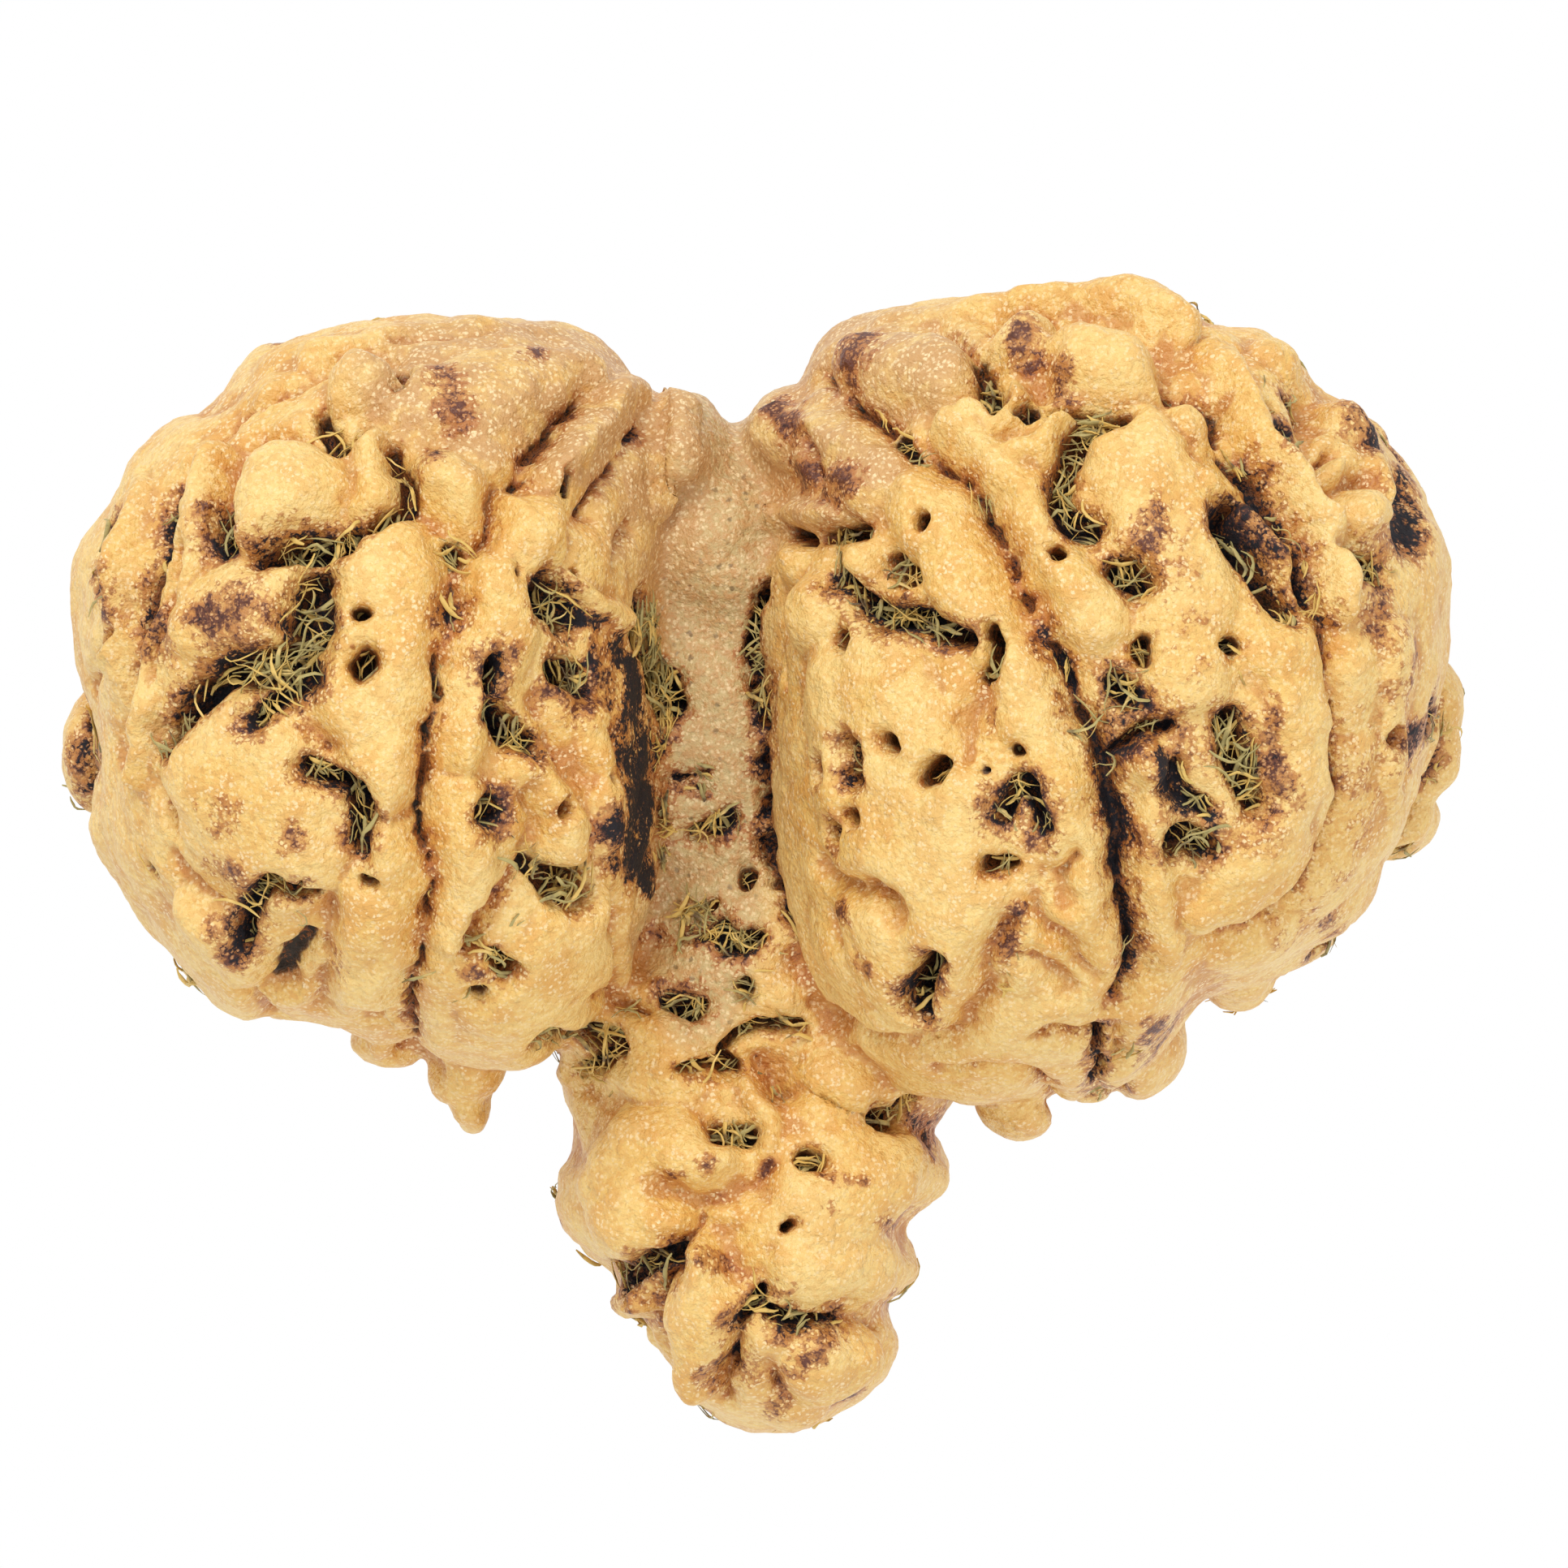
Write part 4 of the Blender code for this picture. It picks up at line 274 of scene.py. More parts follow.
# Carved relief: kind, how many dried fibres lie in it, then x, y, half width
carved = [
    # left lobe, outer side
    ("stained", 14, [(-19.3, 9.8, 0.35), (-19.7, 8.8, 0.4), (-19.3, 7.7, 0.3)]),
    ("groove", 0, [(-19.3, 6.8, 0.1), (-19.6, 6.2, 0.1), (-20.0, 5.0, 0.15)]),
    ("cleft", 5, [(-17.6, 10.8, 0.25), (-17.8, 10.0, 0.35), (-17.8, 9.0, 0.3), (-18.2, 8.2, 0.25),
                  (-18.7, 6.8, 0.2)]),
    ("furrow", 0, [(-18.7, 6.8, 0.16), (-18.9, 5.2, 0.14), (-19.05, 3.2, 0.12)]),
    ("step", 0, [(-17.1, 9.2, 0.1), (-17.6, 7.3, 0.1), (-18.0, 5.4, 0.1)]),
    ("step", 0, [(-17.1, 11.4, 0.15), (-16.6, 12.1, 0.15), (-15.5, 13.1, 0.15), (-13.6, 14.2, 0.1)]),
    ("step", 0, [(-15.9, 10.6, 0.12), (-15.6, 11.7, 0.15), (-14.6, 12.5, 0.15), (-13.4, 12.3, 0.15)]),
    ("step", 0, [(-13.2, 14.4, 0.1), (-12.2, 15.0, 0.12), (-11.0, 14.8, 0.1)]),
    ("hollow", 0, [(-20.4, 3.4, 0.3), (-20.3, 2.0, 0.3)]),
    ("stained", 9, [(-15.9, 10.1, 0.35), (-15.8, 9.2, 0.4)]),
    ("deep", 26, [(-14.6, 8.8, 0.25), (-13.6, 9.2, 0.4), (-12.5, 9.2, 0.45), (-11.9, 9.7, 0.3)]),
    ("pocket", 14, [(-10.9, 12.0, 0.25), (-10.4, 11.3, 0.25), (-10.5, 10.3, 0.35), (-11.3, 9.8, 0.3)]),
    ("pocket", 14, [(-13.0, 13.2, 0.25), (-12.9, 12.5, 0.35), (-12.2, 12.3, 0.3), (-11.6, 12.7, 0.2)]),
    ("hole", 2, [(-10.7, 14.1, 0.25), (-10.7, 13.7, 0.25)]),
    ("deep", 14, [(-13.1, 8.0, 0.55), (-13.4, 6.9, 0.75)]),
    ("deep", 44, [(-13.5, 6.3, 0.5), (-14.0, 5.6, 0.55), (-15.0, 5.5, 0.5), (-15.9, 5.5, 0.5),
                  (-16.5, 5.0, 0.4), (-17.0, 4.4, 0.4), (-17.6, 3.7, 0.35), (-17.65, 3.1, 0.25)]),
    ("stained", 10, [(-13.4, 5.4, 0.45), (-14.0, 4.8, 0.4), (-14.7, 4.5, 0.3), (-15.0, 3.9, 0.2)]),
    ("hole", 3, [(-11.6, 7.1, 0.28)]),
    ("pit", 8, [(-11.8, 5.7, 0.5)]),
    ("hole", 3, [(-11.55, -0.55, 0.33)]),
    ("hole", 3, [(-18.1, -0.55, 0.25)]),
    ("groove", 0, [(-17.7, 1.9, 0.15), (-17.5, 1.2, 0.2), (-17.45, 0.6, 0.15)]),
    ("deep", 22, [(-13.5, 2.75, 0.18), (-13.0, 2.4, 0.25), (-12.3, 2.25, 0.34), (-11.9, 1.8, 0.42),
                  (-11.8, 1.0, 0.42), (-11.85, 0.4, 0.35)]),
    ("groove", 0, [(-13.2, 3.7, 0.12), (-12.8, 3.2, 0.12)]),
    ("pocket", 22, [(-13.2, -1.2, 0.28), (-13.9, -1.05, 0.38), (-14.6, -0.8, 0.42), (-15.0, -1.2, 0.35)]),
    ("stained", 6, [(-15.0, -1.2, 0.3), (-15.4, -2.0, 0.38), (-15.4, -2.5, 0.28)]),
    ("hole", 0, [(-13.5, -0.6, 0.15)]),
    ("step", 0, [(-17.6, 0.0, 0.1), (-17.0, -0.9, 0.12), (-16.0, -1.5, 0.12)]),
    ("step", 0, [(-12.6, -1.5, 0.1), (-12.9, -3.0, 0.12), (-13.1, -4.6, 0.12)]),
    ("bowl", 0, [(-14.4, -3.9, 0.35), (-13.9, -3.1, 0.4), (-13.4, -2.6, 0.25)]),
    ("step", 0, [(-15.4, -4.0, 0.15), (-14.6, -4.9, 0.15)]),
    ("step", 0, [(-11.9, -4.3, 0.15), (-11.3, -5.2, 0.15)]),
    # left lobe, the main cleft and inwards
    ("furrow", 3, [(-9.0, 8.95, 0.2), (-8.9, 8.4, 0.1), (-9.1, 7.3, 0.14), (-9.3, 6.7, 0.08),
                   (-9.5, 6.0, 0.08), (-9.6, 5.4, 0.08), (-9.45, 4.8, 0.15), (-9.7, 4.0, 0.07),
                   (-9.9, 3.0, 0.08), (-9.95, 2.3, 0.12), (-10.0, 1.6, 0.09), (-10.0, 0.3, 0.14),
                   (-9.85, -0.5, 0.08), (-9.75, -1.5, 0.12), (-9.9, -2.5, 0.07), (-10.1, -3.3, 0.07),
                   (-10.3, -4.1, 0.1), (-10.7, -4.7, 0.16), (-10.5, -5.5, 0.14), (-10.4, -6.3, 0.12)]),
    ("pit", 7, [(-9.05, 9.1, 0.3), (-8.95, 8.7, 0.3)]),
    ("stained", 2, [(-9.1, 7.4, 0.17), (-9.2, 7.1, 0.17)]),
    ("pit", 3, [(-9.6, 5.5, 0.14), (-9.5, 4.8, 0.26)]),
    ("pit", 0, [(-9.9, 2.8, 0.16), (-9.95, 2.1, 0.2)]),
    ("pit", 0, [(-10.0, 0.5, 0.16), (-10.0, 0.1, 0.24)]),
    ("pit", 0, [(-10.65, -4.5, 0.2), (-10.7, -4.9, 0.24)]),
    ("hole", 0, [(-7.25, 8.3, 0.2)]),
    ("step", 0, [(-10.6, 10.4, 0.1), (-9.8, 10.1, 0.12), (-9.2, 9.6, 0.12)]),
    ("groove", 0, [(-7.7, 11.0, 0.12), (-8.0, 10.2, 0.12), (-8.1, 9.5, 0.12), (-8.4, 8.9, 0.12)]),
    ("stained", 5, [(-8.0, 5.7, 0.3), (-8.2, 4.9, 0.25)]),
    ("deep", 16, [(-8.1, 4.2, 0.3), (-7.4, 3.8, 0.4), (-6.8, 3.25, 0.35)]),
    ("stained", 6, [(-8.0, 1.4, 0.45)]),
    ("pit", 2, [(-6.0, 1.4, 0.38)]),
    ("pocket", 26, [(-6.9, -0.25, 0.25), (-6.2, -0.75, 0.5), (-5.4, -1.05, 0.55)]),
    ("groove", 4, [(-6.8, 0.0, 0.2), (-7.6, -1.1, 0.22), (-8.2, -2.0, 0.25), (-8.5, -2.8, 0.2)]),
    ("pocket", 12, [(-7.9, -2.9, 0.25), (-7.6, -3.4, 0.4)]),
    ("hole", 5, [(-8.5, -4.0, 0.28)]),
    ("step", 0, [(-6.9, 2.0, 0.1), (-6.6, 0.9, 0.1), (-6.9, 0.2, 0.1)]),
    ("deep", 14, [(-6.3, 7.7, 0.6), (-5.7, 7.1, 0.65)]),
    ("deep", 14, [(-5.9, 5.6, 0.45), (-5.3, 5.2, 0.5)]),
    ("step", 0, [(-6.5, 4.6, 0.1), (-6.2, 3.2, 0.12), (-5.4, 2.4, 0.1)]),
    ("hole", 0, [(-5.5, 8.4, 0.2)]),
    ("hole", 2, [(-4.7, 2.5, 0.25)]),
    ("furrow", 0, [(-5.2, 13.7, 0.12), (-5.7, 13.1, 0.16), (-6.4, 12.5, 0.18), (-6.9, 11.9, 0.2),
                   (-7.2, 11.1, 0.2)]),
    ("crease", 0, [(-11.0, 15.3, 0.1), (-9.5, 15.4, 0.12), (-8.2, 15.5, 0.1)]),
    ("hole", 2, [(-6.1, 11.1, 0.2), (-5.9, 10.8, 0.2)]),
    ("furrow", 0, [(-3.4, 12.8, 0.13), (-3.8, 12.2, 0.14), (-4.1, 11.5, 0.14), (-4.9, 10.9, 0.14),
                   (-5.1, 10.3, 0.12)]),
    ("groove", 0, [(-3.8, 9.8, 0.15), (-4.1, 9.2, 0.2), (-4.2, 8.8, 0.15)]),
    ("step", 0, [(-4.4, -1.4, 0.12), (-4.1, -2.9, 0.12), (-4.3, -4.0, 0.12)]),
    # the valley and the seam down its right side
    ("deep", 34, [(-3.5, 7.4, 0.4), (-3.6, 6.6, 0.4), (-3.2, 5.5, 0.5), (-2.8, 4.6, 0.4)]),
    ("litter", 70, [(-3.4, 7.6, 0.25), (-3.3, 6.4, 0.35), (-3.0, 5.2, 0.4), (-2.9, 4.3, 0.35),
                    (-3.1, 3.3, 0.25)]),
    ("litter", 18, [(-3.0, 1.6, 0.15), (-2.9, 0.6, 0.25), (-3.1, -0.2, 0.15)]),
    ("litter", 24, [(0.1, 7.6, 0.12), (-0.2, 6.9, 0.15), (-0.1, 5.6, 0.12), (0.0, 4.6, 0.2)]),
    ("litter", 16, [(-2.4, -1.6, 0.2), (-1.8, -1.9, 0.2)]),
    ("seam", 14, [(0.3, 8.0, 0.18), (0.0, 7.6, 0.2), (-0.3, 6.5, 0.2), (-0.25, 5.5, 0.2),
                  (-0.2, 4.5, 0.17), (-0.1, 3.5, 0.16), (-0.1, 2.0, 0.16), (0.0, 1.0, 0.15),
                  (0.2, -0.3, 0.15), (0.5, -1.2, 0.14), (0.9, -2.3, 0.14), (1.05, -2.9, 0.12)]),
    ("hollow", 8, [(-2.5, 2.35, 0.12), (-1.6, 2.45, 0.15)]),
    ("hollow", 4, [(-2.4, 2.0, 0.1), (-1.7, 1.85, 0.12)]),
    ("hollow", 12, [(-2.0, 0.5, 0.25), (-1.0, 1.1, 0.3)]),
    ("hole", 6, [(-0.5, -0.6, 0.35)]),
    ("hole", 6, [(-1.6, -1.4, 0.3)]),
    ("hollow", 8, [(-3.1, -2.4, 0.12), (-1.3, -2.4, 0.15)]),
    ("deep", 24, [(-1.3, -2.2, 0.4), (-0.9, -2.7, 0.45), (-0.3, -2.6, 0.35)]),
    ("deep", 14, [(-2.8, -4.2, 0.3), (-2.0, -4.35, 0.35)]),
    ("hole", 6, [(-0.5, -3.9, 0.33)]),
    ("groove", 3, [(-4.8, -4.1, 0.12), (-4.2, -4.3, 0.15), (-3.5, -4.5, 0.12)]),
    ("pocket", 34, [(-6.4, -5.5, 0.35), (-5.2, -5.5, 0.55), (-4.5, -5.7, 0.5)]),
    ("pocket", 14, [(-4.8, -6.1, 0.4), (-5.5, -6.6, 0.35)]),
    ("pocket", 20, [(1.1, -5.2, 0.22), (0.2, -5.2, 0.28), (-0.5, -5.3, 0.3), (-0.9, -5.9, 0.26)]),
    ("pocket", 14, [(-0.7, -6.2, 0.25), (-1.5, -6.3, 0.28), (-2.5, -6.4, 0.22)]),
    ("groove", 2, [(0.1, -6.3, 0.15), (0.4, -7.0, 0.2), (0.9, -7.1, 0.12)]),
    # right lobe, top
    ("furrow", 2, [(1.6, 14.4, 0.15), (2.1, 13.9, 0.15), (2.9, 13.3, 0.15), (3.6, 12.8, 0.15)]),
    ("pit", 7, [(4.0, 12.5, 0.25), (4.4, 11.8, 0.25)]),
    ("groove", 0, [(1.6, 12.0, 0.12), (1.9, 11.2, 0.15)]),
    ("pocket", 16, [(0.6, 9.6, 0.2), (1.5, 9.3, 0.25), (2.4, 9.7, 0.25), (3.0, 9.7, 0.3)]),
    ("groove", 0, [(5.1, 15.7, 0.15), (5.9, 15.3, 0.18), (6.2, 14.8, 0.15), (6.7, 14.3, 0.15)]),
    ("pocket", 20, [(6.5, 14.6, 0.3), (6.6, 13.8, 0.4), (6.9, 13.1, 0.3)]),
    ("step", 0, [(7.0, 15.7, 0.12), (8.1, 16.1, 0.12), (9.0, 15.7, 0.12), (9.1, 15.2, 0.12)]),
    ("step", 0, [(9.4, 15.8, 0.12), (10.7, 15.6, 0.12), (11.8, 15.2, 0.12), (12.2, 14.4, 0.12)]),
    ("step", 0, [(8.4, 14.2, 0.12), (8.2, 13.6, 0.12)]),
    ("hole", 4, [(7.8, 13.0, 0.35)]),
    ("pocket", 20, [(8.5, 13.0, 0.2), (9.5, 12.9, 0.28), (10.7, 12.95, 0.2)]),
    ("pocket", 34, [(10.5, 12.9, 0.3), (9.6, 12.6, 0.42), (9.2, 12.0, 0.42), (8.9, 11.2, 0.4)]),
    ("deep", 14, [(8.9, 11.0, 0.36), (8.8, 10.5, 0.35), (9.2, 10.1, 0.4), (9.8, 9.7, 0.34)]),
    # right lobe, the inner cleft
    ("furrow", 4, [(5.0, 11.9, 0.1), (5.6, 11.5, 0.1), (6.1, 10.9, 0.11), (6.8, 9.9, 0.12),
                   (7.1, 9.2, 0.12), (7.4, 8.5, 0.12), (7.5, 7.9, 0.12), (7.8, 7.3, 0.13),
                   (8.3, 6.7, 0.14)]),
    ("cleft", 8, [(8.3, 6.7, 0.14), (8.7, 6.0, 0.16), (9.0, 5.4, 0.18), (9.1, 4.6, 0.2),
                  (9.5, 3.9, 0.22), (9.9, 3.2, 0.24), (10.1, 2.6, 0.26), (10.2, 1.8, 0.28),
                  (10.5, 1.0, 0.32), (10.7, 0.3, 0.36), (10.6, -0.4, 0.32), (10.8, -1.2, 0.2),
                  (10.8, -2.0, 0.18), (10.9, -2.8, 0.18), (11.1, -3.5, 0.2), (10.6, -4.4, 0.15)]),
    ("hole", 3, [(8.75, 8.95, 0.28)]),
    ("deep", 14, [(10.7, 8.5, 0.45), (11.0, 8.1, 0.5)]),
    ("pit", 6, [(11.2, 6.3, 0.3), (11.2, 5.9, 0.3)]),
    ("pit", 6, [(14.1, 6.2, 0.38)]),
    ("stained", 8, [(10.7, 4.9, 0.45)]),
    ("hole", 3, [(5.0, 9.85, 0.28)]),
    ("pocket", 8, [(6.9, 6.8, 0.2), (7.1, 6.2, 0.22), (6.9, 5.4, 0.22), (6.5, 5.2, 0.2)]),
    ("deep", 48, [(2.2, 8.2, 0.3), (3.2, 7.2, 0.4), (3.7, 6.9, 0.4), (4.6, 7.0, 0.38),
                  (5.4, 6.6, 0.38), (6.2, 6.4, 0.3)]),
    ("pocket", 12, [(3.8, 8.8, 0.3), (4.3, 8.3, 0.34)]),
    ("pocket", 8, [(2.0, 9.0, 0.2), (2.2, 8.4, 0.25)]),
    # right lobe, the face pad
    ("pit", 6, [(2.5, 6.5, 0.4)]),
    ("hole", 2, [(0.65, 5.5, 0.13), (0.65, 4.9, 0.13)]),
    ("deep", 8, [(2.0, 2.5, 0.36)]),
    ("deep", 12, [(2.7, 3.4, 0.24), (3.05, 2.9, 0.28), (2.95, 2.4, 0.34)]),
    ("pit", 2, [(4.0, 3.25, 0.37)]),
    ("pit", 8, [(5.1, 2.35, 0.34), (5.45, 2.6, 0.37)]),
    ("pit", 6, [(2.95, 1.2, 0.32)]),
    ("deep", 6, [(2.35, 0.7, 0.38)]),
    ("step", 0, [(1.7, -0.3, 0.1), (2.7, -0.8, 0.14), (3.6, -0.8, 0.14), (4.3, -1.4, 0.1)]),
    ("hole", 2, [(7.6, 3.2, 0.25)]),
    ("hole", 0, [(6.65, 2.6, 0.14)]),
    ("stained", 14, [(7.0, 1.2, 0.25), (7.3, 1.9, 0.3), (7.8, 2.1, 0.32), (8.2, 1.6, 0.3),
                     (8.35, 0.9, 0.22)]),
    ("pit", 6, [(6.8, -0.4, 0.3), (7.2, -0.4, 0.3)]),
    ("deep", 8, [(5.3, -2.9, 0.28), (4.7, -3.8, 0.38), (4.8, -4.4, 0.35)]),
    ("dimple", 0, [(2.2, -2.2, 0.2)]),
    ("step", 0, [(0.9, -3.2, 0.14), (1.6, -4.6, 0.16), (3.0, -5.5, 0.18), (4.2, -5.7, 0.18),
                 (5.4, -5.4, 0.18), (6.4, -4.7, 0.18), (6.8, -3.8, 0.16), (6.8, -2.9, 0.14),
                 (7.3, -2.0, 0.12)]),
    ("step", 0, [(8.0, -1.4, 0.1), (8.4, -2.2, 0.12), (9.2, -2.7, 0.12), (9.9, -3.6, 0.1)]),
    ("step", 0, [(7.9, -3.0, 0.1), (8.8, -3.5, 0.12), (9.2, -4.0, 0.1)]),
    ("crease", 5, [(8.3, -3.2, 0.1), (7.6, -2.9, 0.12), (7.2, -3.2, 0.12), (7.3, -4.1, 0.12)]),
    ("step", 0, [(6.4, 4.8, 0.08), (6.0, 3.9, 0.1), (6.1, 2.9, 0.08)]),
    ("step", 0, [(9.3, 0.2, 0.08), (8.7, -0.6, 0.1), (8.9, -1.3, 0.08)]),
    # right lobe, between the clefts
    ("stained", 8, [(10.2, 2.9, 0.18), (10.9, 3.6, 0.2), (11.5, 3.9, 0.2), (12.2, 3.9, 0.2)]),
    ("hollow", 8, [(12.3, 2.8, 0.25), (12.3, 1.9, 0.35), (13.1, 1.2, 0.3)]),
    ("deep", 16, [(12.3, 0.4, 0.5), (13.1, 0.1, 0.45)]),
    ("deep", 36, [(13.8, 3.8, 0.5), (14.2, 2.9, 0.5), (14.4, 2.0, 0.4), (14.6, 1.4, 0.28)]),
    ("deep", 18, [(13.9, 10.5, 0.3), (13.6, 9.9, 0.42), (14.0, 9.3, 0.45), (14.5, 8.7, 0.42),
                  (14.8, 8.0, 0.4), (15.3, 7.5, 0.35), (15.8, 7.1, 0.25)]),
    ("pit", 0, [(12.7, 12.3, 0.12), (12.7, 11.9, 0.12)]),
    # right lobe, the outer cleft and beyond
    ("furrow", 4, [(12.0, 14.0, 0.16), (12.6, 13.8, 0.16), (13.2, 13.6, 0.18), (13.5, 12.9, 0.15),
                   (13.5, 12.2, 0.15), (14.3, 11.6, 0.2)]),
    ("cleft", 8, [(14.3, 11.6, 0.2), (14.7, 11.2, 0.3), (15.0, 10.6, 0.3),
                  (15.3, 10.0, 0.2), (15.9, 9.5, 0.15), (16.1, 9.0, 0.18), (16.1, 8.1, 0.2),
                  (16.5, 7.5, 0.15), (16.8, 6.9, 0.15)]),
    ("furrow", 0, [(16.8, 6.9, 0.14), (16.9, 5.5, 0.12), (17.2, 4.4, 0.12), (17.4, 3.5, 0.12),
                   (17.2, 2.8, 0.12), (17.4, 2.0, 0.12), (17.1, 0.6, 0.1), (16.5, -0.6, 0.1),
                   (15.6, -1.7, 0.1), (14.3, -2.5, 0.08), (13.5, -2.4, 0.07)]),
    ("hole", 3, [(14.95, 13.4, 0.28)]),
    ("stained", 5, [(15.8, 13.5, 0.33)]),
    ("stained", 12, [(15.5, 12.6, 0.35), (15.5, 12.1, 0.35)]),
    ("groove", 0, [(16.1, 11.7, 0.15), (16.9, 12.0, 0.15)]),
    ("step", 0, [(16.2, 13.3, 0.12), (16.2, 12.4, 0.12), (16.2, 11.7, 0.12)]),
    ("step", 0, [(16.6, 10.8, 0.1), (17.0, 10.8, 0.1), (17.9, 11.2, 0.12)]),
    ("step", 0, [(16.9, 9.3, 0.1), (17.4, 9.2, 0.1)]),
    ("deep", 14, [(17.7, 8.7, 0.45), (18.3, 8.5, 0.45)]),
    ("dimple", 0, [(19.1, 11.0, 0.4), (19.1, 9.6, 0.4)]),
    ("pit", 7, [(18.6, 3.6, 0.35)]),
    ("stained", 7, [(19.9, 4.5, 0.3), (19.9, 3.9, 0.35)]),
    ("deep", 4, [(10.0, -5.3, 0.15), (10.0, -7.3, 0.15)]),
    ("groove", 3, [(10.55, -5.2, 0.1), (10.6, -6.4, 0.1)]),
    ("groove", 0, [(5.2, -6.5, 0.1), (7.2, -6.4, 0.12), (8.2, -6.7, 0.12), (8.8, -7.4, 0.1)]),
    ("groove", 0, [(8.2, -5.4, 0.12), (8.8, -5.1, 0.12), (9.3, -5.4, 0.12), (9.8, -5.3, 0.12)]),
    ("deep", 12, [(3.3, -7.75, 0.2), (4.0, -7.9, 0.25), (4.4, -7.4, 0.3)]),
    # tail
    ("pocket", 18, [(-1.3, -8.2, 0.4), (-0.5, -8.2, 0.4)]),
    ("pit", 12, [(1.35, -9.0, 0.45)]),
    ("hole", 0, [(0.7, -11.0, 0.26)]),
    ("deep", 16, [(-2.6, -11.8, 0.2), (-3.1, -12.1, 0.4), (-3.7, -12.4, 0.3), (-4.3, -12.5, 0.3)]),
    ("groove", 0, [(-2.6, -11.7, 0.15), (-2.0, -11.2, 0.15), (-1.7, -10.6, 0.15)]),
    ("deep", 5, [(-0.1, -12.9, 0.22), (-0.3, -13.5, 0.28), (-0.7, -13.9, 0.25)]),
    ("deep", 16, [(0.1, -13.6, 0.2), (0.8, -13.95, 0.25), (2.4, -13.9, 0.2)]),
    ("step", 0, [(2.4, -13.9, 0.15), (3.6, -14.0, 0.15)]),
    ("step", 0, [(-2.9, -9.9, 0.12), (-2.0, -10.2, 0.16), (-0.8, -10.1, 0.2), (0.0, -9.8, 0.15),
                 (0.1, -9.2, 0.1)]),
    ("dimple", 0, [(-1.2, -11.1, 0.35), (-0.8, -12.2, 0.25)]),
    ("groove", 0, [(-0.7, -14.0, 0.12), (-0.7, -14.6, 0.15), (-0.9, -15.4, 0.2), (-1.2, -16.3, 0.12)]),
    ("stained", 0, [(-0.85, -15.4, 0.22), (-0.8, -15.0, 0.18)]),
    ("groove", 0, [(0.1, -15.2, 0.12), (0.7, -16.1, 0.12)]),
    ("furrow", 2, [(-2.6, -12.2, 0.12), (-3.1, -13.3, 0.12), (-2.9, -14.7, 0.12)]),
]

